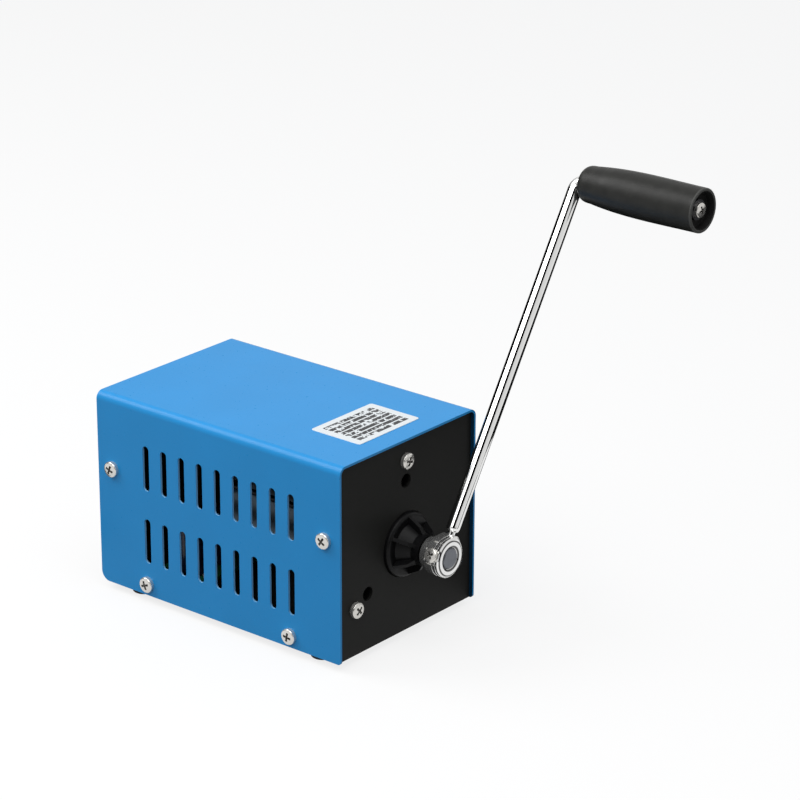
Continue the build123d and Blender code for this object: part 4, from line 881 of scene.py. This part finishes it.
class CRANK_OT_hub(bpy.types.Operator):
    """Lofts the crank's hub: a collar with a flat for the set screw, a groove and the pointed eye"""

    bl_idname = "hand_crank.hub"
    bl_label = "Crank hub"

    def execute(self, context):
        # Each row is distance * forward + reach * outward. On the nose's columns the reach is less by
        # what the nose's radius is smaller than the eye's, and the row is moved along the arm to the
        # nose. The set screw's seat cuts the reach to seat / cos of the angle to the screw.
        s = context.scene.hand_crank.hub
        hub_front = CRANK_AXIS[1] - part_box("crank_hub")[0].y
        eye_back = hub_front - s.eye_thickness
        groove_back = eye_back - s.groove
        hub_back = groove_back - s.collar_length
        small = s.eye_radius - s.nose_radius
        middle = hub_front - s.eye_thickness / 2
        edge = 0.00004
        slim, soft, wide = 0.00003, 0.0002, 0.0003
        grooves = [
            (hub_front - back + shift, s.eye_radius - depth, 1, slim)
            for back in (s.line_back * 2, s.line_back)
            for shift, depth in ((-s.line, 0), (-s.line * 0.6, s.line), (s.line * 0.6, s.line), (s.line, 0))
        ]
        # Each corner: distance, radius, whether the nose grows from it, and its rounding.
        rows = np.array(
            [
                (hub_back, s.bore + wide, 0, 0),
                (hub_back, s.collar_radius, 0, wide * 2),
                (groove_back, s.collar_radius, 0, wide),
                (groove_back, s.groove_radius, 0, soft),
                (eye_back, s.groove_radius, 0, soft),
                (eye_back, s.eye_radius - s.chamfer / 2, 1, soft),
                (eye_back + s.chamfer / 2, s.eye_radius, 1, soft),
                (middle - s.seat_reach - edge, s.eye_radius, 1, 0),
                (middle - s.seat_reach, s.eye_radius, 1, 0),
                *grooves,
                (middle + s.seat_reach, s.eye_radius, 1, 0),
                (middle + s.seat_reach + edge, s.eye_radius, 1, 0),
                (hub_front - s.chamfer, s.eye_radius, 1, soft * 1.25),
                (hub_front, s.eye_radius - s.chamfer, 1, soft * 1.25),
                (hub_front, s.bore + 0.0013, 0, wide),
                (hub_front - 0.0006, s.bore, 0, soft),
                (hub_back + wide, s.bore, 0, 0),
            ]
        )
        distance, radius, nosed = softened(rows[:, :3], rows[:, 3], 6).T
        bend = math.acos(small / s.nose)
        angle = np.concatenate([np.linspace(-bend, bend, 24), np.linspace(bend, FULL_TURN - bend, 90)])
        on_nose = np.concatenate([np.ones(24), np.zeros(90)])
        lift = nosed[:, None] * on_nose[None]
        sideways = np.cross(FORWARD, ARM)
        outward = np.cos(angle)[:, None] * ARM + np.sin(angle)[:, None] * sideways
        reach_out = radius[:, None] - lift * small
        milled = (np.abs(distance - middle) < s.seat_reach + edge / 2) & (radius > s.seat)
        toward_screw = outward @ (UP * math.sin(s.screw_rise) - SIDEWAYS * math.cos(s.screw_rise))
        flat = s.seat / np.maximum(toward_screw, 0.2)
        reach_out = np.where(milled[:, None], np.minimum(reach_out, flat[None]), reach_out)
        points = (
            CRANK_AXIS
            + distance[:, None, None] * FORWARD
            + reach_out[:, :, None] * outward[None]
            + (lift * s.nose)[:, :, None] * ARM
        )
        # Painted shade: the turned lines on the eye are marked to be painted dark.
        in_line = (radius < s.eye_radius - s.line * 0.7) & (radius > s.seat)
        in_line = in_line & (abs(distance - middle) < s.seat_reach)
        cut_away = reach_out < radius[:, None] - lift * small - 1e-6
        grime = (in_line[:, None] & ~cut_away).astype(float)
        shell = (*quilt(points, closed=True), grime.ravel())
        build("pointed_hub", [shell], "chrome", "crank", ("crank_hub",))
        return {"FINISHED"}


class CRANK_OT_screws(bpy.types.Operator):
    """Makes the cross recess screws of the casing, hub and grip, each spun its own way"""

    bl_idname = "hand_crank.screws"
    bl_label = "Screws"

    def execute(self, context):
        s = context.scene.hand_crank.screws
        case_sizes = (s.case_radius, s.case_length, s.case_head_radius, s.case_head_height, s.pitch)
        low_edge = COVER_LOW[2]
        upper_reach = (COVER_HIGH[1] - COVER_LOW[1]) / 2 - s.side_inset
        spots = []
        for side, face in ((-1, COVER_LOW[0]), (1, COVER_HIGH[0])):
            for end in (-1, 1):
                upper = (face, CASING_MIDDLE[1] + end * upper_reach, low_edge + s.side_height)
                lower = (face, CASING_MIDDLE[1] + end * s.low_spread / 2, low_edge + s.low_height)
                spots += [(upper, SIDEWAYS * side), (lower, SIDEWAYS * side)]
        for third in range(3):
            angle = math.pi / 2 + FULL_TURN / 3 * third
            outward = math.cos(angle) * SIDEWAYS + math.sin(angle) * UP
            spots.append((CRANK_AXIS + s.front_circle * outward, FORWARD))
        turns = np.random.default_rng(7).uniform(0, math.pi / 2, len(spots))
        shells = [pan_screw(np.array(spot), axis, case_sizes, a) for (spot, axis), a in zip(spots, turns)]
        build("casing_screws", shells, "zinc_screw", "casing", ("case_screws",))
        hub = context.scene.hand_crank.hub
        outward = UP * math.sin(hub.screw_rise) - SIDEWAYS * math.cos(hub.screw_rise)
        hub_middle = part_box("crank_hub")[0].y + hub.eye_thickness / 2
        seat = CRANK_AXIS * (1, 0, 1) + (0, hub_middle, 0) + outward * hub.seat
        sizes = (s.hub_radius, s.hub_length, s.hub_head_radius, s.hub_head_height, s.pitch)
        shell = pan_screw(seat, outward, sizes, 0.5)
        build("hub_screw", [shell], "zinc_screw", "crank", ("hub_set_screw",))
        seat = GRIP_AXIS * (1, 0, 1) + (0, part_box("grip_washer")[0].y, 0)
        sizes = (s.grip_radius, s.grip_length, s.grip_head_radius, s.grip_head_height, s.fine_pitch)
        shell = pan_screw(seat, FORWARD, sizes, 0.3)
        build("grip_end_screw", [shell], "zinc_screw", "crank", ("grip_screw",))
        return {"FINISHED"}


class CRANK_OT_fittings(bpy.types.Operator):
    """Makes the foil label with rounded corners and the four tapered rubber feet"""

    bl_idname = "hand_crank.fittings"
    bl_label = "Label and feet"

    def execute(self, context):
        s = context.scene.hand_crank.label
        low, high = (np.array(corner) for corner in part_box("label_plate"))
        shell = plate(low, high, s.corner, 0.00005)
        build("ruled_label", [shell], "label_foil", "casing", ("label_plate",))
        low, high = (np.array(corner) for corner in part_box("rubber_feet"))
        height = high[2] - low[2]
        narrow = s.foot_radius - s.foot_taper
        profile = softened(
            [
                (0.0, s.foot_hole),
                (0.0, s.foot_radius),
                (height, narrow),
                (height, s.foot_recess),
                (height - s.foot_depth, s.foot_recess),
                (height - s.foot_depth, s.foot_hole),
            ],
            [0.0, 0.0002, 0.0006, 0.0003, 0.0003, 0.0002],
        )
        shells = []
        for side in (low[0] + s.foot_radius, high[0] - s.foot_radius):
            for end in (low[1] + s.foot_radius, high[1] - s.foot_radius):
                shells.append(turned(profile, np.array([side, end, high[2]]), -UP, columns=48))
        build("tapered_feet", shells, "foot_rubber", "casing", ("rubber_feet",))
        return {"FINISHED"}


# ---- Stage ----
class CRANK_OT_stage(bpy.types.Operator):
    """Sets up the pale floor, the even light, the soft lamps, dark cards for the chrome, and the camera"""

    bl_idname = "hand_crank.stage"
    bl_label = "Stage"

    def execute(self, context):
        s = context.scene.hand_crank.stage
        self.floor()
        self.sky(context.scene, s.sky)
        self.cards()
        for name, (offset, width) in LAMPS.items():
            self.lamp(name + "_lamp", Vector(CASING_MIDDLE) + Vector(offset), width, getattr(s, name))
        self.camera(context.scene, s)
        return {"FINISHED"}

    def plain(self, name, points, quads):
        """A stage mesh that isn't part of the object."""
        mesh = bpy.data.meshes.new(name)
        mesh.from_pydata(points, [], quads)
        made = bpy.data.objects.new(name, mesh)
        bpy.context.scene.collection.objects.link(made)
        return made

    def floor(self):
        """A wide floor, white to the camera and to mirrors except where the object shades it."""
        corners = [(x * FLOOR_REACH, y * FLOOR_REACH, 0) for x, y in ((-1, -1), (1, -1), (1, 1), (-1, 1))]
        floor = self.plain("floor", corners, [(0, 1, 2, 3)])
        finish = Finish("floor", Specular_IOR_Level=0.0)
        rays = finish.tree.nodes.new("ShaderNodeLightPath")
        seen = Value(finish, rays.outputs["Is Camera Ray"]) + Value(finish, rays.outputs["Is Glossy Ray"])
        seen = seen + Value(finish, rays.outputs["Is Transmission Ray"])
        seen = seen.at_most(1.0)
        finish.surface(Base_Color=finish.mix(FLOOR_LIT, FLOOR_SEEN, seen), Roughness=1.0)
        glow = finish.node("ShaderNodeEmission", {}, {"Color": (1.0, 1.0, 1.0), "Strength": 1.0})
        painted = Value(finish, finish.shader.outputs[0])
        surface = finish.node("ShaderNodeMixShader", {}, {0: seen * FLOOR_GLOW, 1: painted, 2: glow})
        result = next(n for n in finish.tree.nodes if n.type == "OUTPUT_MATERIAL")
        finish.tree.links.new(surface.socket, result.inputs[0])
        floor.data.materials.append(finish.material)

    def sky(self, scene, strength):
        """Even light, white where the camera or a mirror sees it."""
        world = bpy.data.worlds.new("studio")
        world.use_nodes = True
        scene.world = world
        nodes, links = world.node_tree.nodes, world.node_tree.links
        nodes.clear()
        rays = nodes.new("ShaderNodeLightPath")
        white, even = nodes.new("ShaderNodeBackground"), nodes.new("ShaderNodeBackground")
        even.inputs["Color"].default_value = (0.95, 0.97, 1.0, 1.0)
        even.inputs["Strength"].default_value = strength
        seen = nodes.new("ShaderNodeMath")
        seen.operation = "MAXIMUM"
        links.new(rays.outputs["Is Camera Ray"], seen.inputs[0])
        links.new(rays.outputs["Is Glossy Ray"], seen.inputs[1])
        mixed, result = nodes.new("ShaderNodeMixShader"), nodes.new("ShaderNodeOutputWorld")
        links.new(seen.outputs[0], mixed.inputs[0])
        links.new(even.outputs[0], mixed.inputs[1])
        links.new(white.outputs[0], mixed.inputs[2])
        links.new(mixed.outputs[0], result.inputs["Surface"])

    def cards(self):
        """Black cards round the stage that only mirrors see, for the dark stripes in the chrome."""
        finish = Finish("card", Specular_IOR_Level=0.0)
        finish.surface(Base_Color=(0.004, 0.004, 0.004), Roughness=1.0)
        shapes = []
        for bearing, half_width, height in CARDS:
            angle = math.radians(bearing)
            out = np.array([math.cos(angle), math.sin(angle), 0.0])
            side = np.array([-out[1], out[0], 0.0]) * half_width
            foot = CASING_MIDDLE * (1, 1, 0) + out * CARD_DISTANCE + UP * CARD_FOOT
            top = UP * height
            shapes.append([foot - side, foot + side, foot + side + top, foot - side + top])
        ground = CASING_MIDDLE * (1, 1, 0) + UP * MAT_LIFT
        for left, front, right, rear in MATS:
            corners = ((left, front), (right, front), (right, rear), (left, rear))
            shapes.append([ground + (x, y, 0) for x, y in corners])
        for left, right, top in WALLS:
            corners = ((left, 0), (right, 0), (right, top), (left, top))
            shapes.append([ground + (x, WALL_BACK, z) for x, z in corners])
        for number, corners in enumerate(shapes):
            card = self.plain(f"card_{number + 1}", [tuple(c) for c in corners], [(0, 1, 2, 3)])
            card.data.materials.append(finish.material)
            card.visible_camera = False
            card.visible_diffuse = False
            card.visible_transmission = False
            card.visible_shadow = False

    def lamp(self, name, spot, width, watts):
        """A square soft lamp at spot that faces the casing."""
        data = bpy.data.lights.new(name, "AREA")
        data.size, data.energy = width, watts
        made = bpy.data.objects.new(name, data)
        bpy.context.scene.collection.objects.link(made)
        made.location = spot
        made.rotation_mode = "QUATERNION"
        made.rotation_quaternion = (spot - Vector(CASING_MIDDLE)).to_track_quat("Z", "Y")

    def camera(self, scene, s):
        """The camera as solved from the casing's edges in the photograph."""
        data = bpy.data.cameras.new("camera")
        data.lens, data.sensor_width = s.lens, 36.0
        data.clip_start, data.clip_end = 0.05, 50.0
        made = bpy.data.objects.new("camera", data)
        scene.collection.objects.link(made)
        level = math.cos(s.elevation)
        back = Vector((math.sin(s.bearing) * level, -math.cos(s.bearing) * level, math.sin(s.elevation)))
        flat_right = Vector((math.cos(s.bearing), math.sin(s.bearing), 0.0))
        right = Matrix.Rotation(s.roll, 3, back) @ flat_right
        top = back.cross(right)
        foot = Vector((CASING_MIDDLE[0], CASING_MIDDLE[1], COVER_LOW[2]))
        spot = foot + back * s.distance + right * s.shift + top * s.rise
        made.matrix_world = Matrix.Translation(spot) @ Matrix((right, top, back)).transposed().to_4x4()
        scene.camera = made


class CRANK_PT_panel(bpy.types.Panel):
    """Lists the pieces and the sizes and colours"""

    bl_label = "Hand crank generator"
    bl_idname = "CRANK_PT_panel"
    bl_space_type = "VIEW_3D"
    bl_region_type = "UI"
    bl_category = "Hand Crank"

    def draw(self, context):
        column = self.layout.column()
        for operator in OPERATORS:
            column.operator(operator.bl_idname)
        settings = context.scene.hand_crank
        for group_name in HandCrankSettings.__annotations__:
            group = getattr(settings, group_name)
            box = self.layout.box()
            box.label(text=group_name.capitalize())
            for name in group.__annotations__:
                box.prop(group, name)


GROUPS = (
    GripSettings,
    RodSettings,
    HubSettings,
    ScrewSettings,
    LabelSettings,
    ColourSettings,
    StageSettings,
    HandCrankSettings,
)
OPERATORS = (
    CRANK_OT_finishes,
    CRANK_OT_grip,
    CRANK_OT_rod,
    CRANK_OT_hub,
    CRANK_OT_screws,
    CRANK_OT_fittings,
    CRANK_OT_stage,
)


def register():
    """Registers the settings, operators and panel."""
    for group in GROUPS + OPERATORS + (CRANK_PT_panel,):
        bpy.utils.register_class(group)
    bpy.types.Scene.hand_crank = PointerProperty(type=HandCrankSettings)


def unregister():
    """Takes them away again."""
    del bpy.types.Scene.hand_crank
    for group in reversed(GROUPS + OPERATORS + (CRANK_PT_panel,)):
        bpy.utils.unregister_class(group)


def main():
    """Makes every piece and the stage."""
    register()
    bpy.context.scene.view_settings.view_transform = "Standard"
    for operator in OPERATORS:
        area, name = operator.bl_idname.split(".")
        getattr(getattr(bpy.ops, area), name)()


if __name__ == "__main__":
    main()
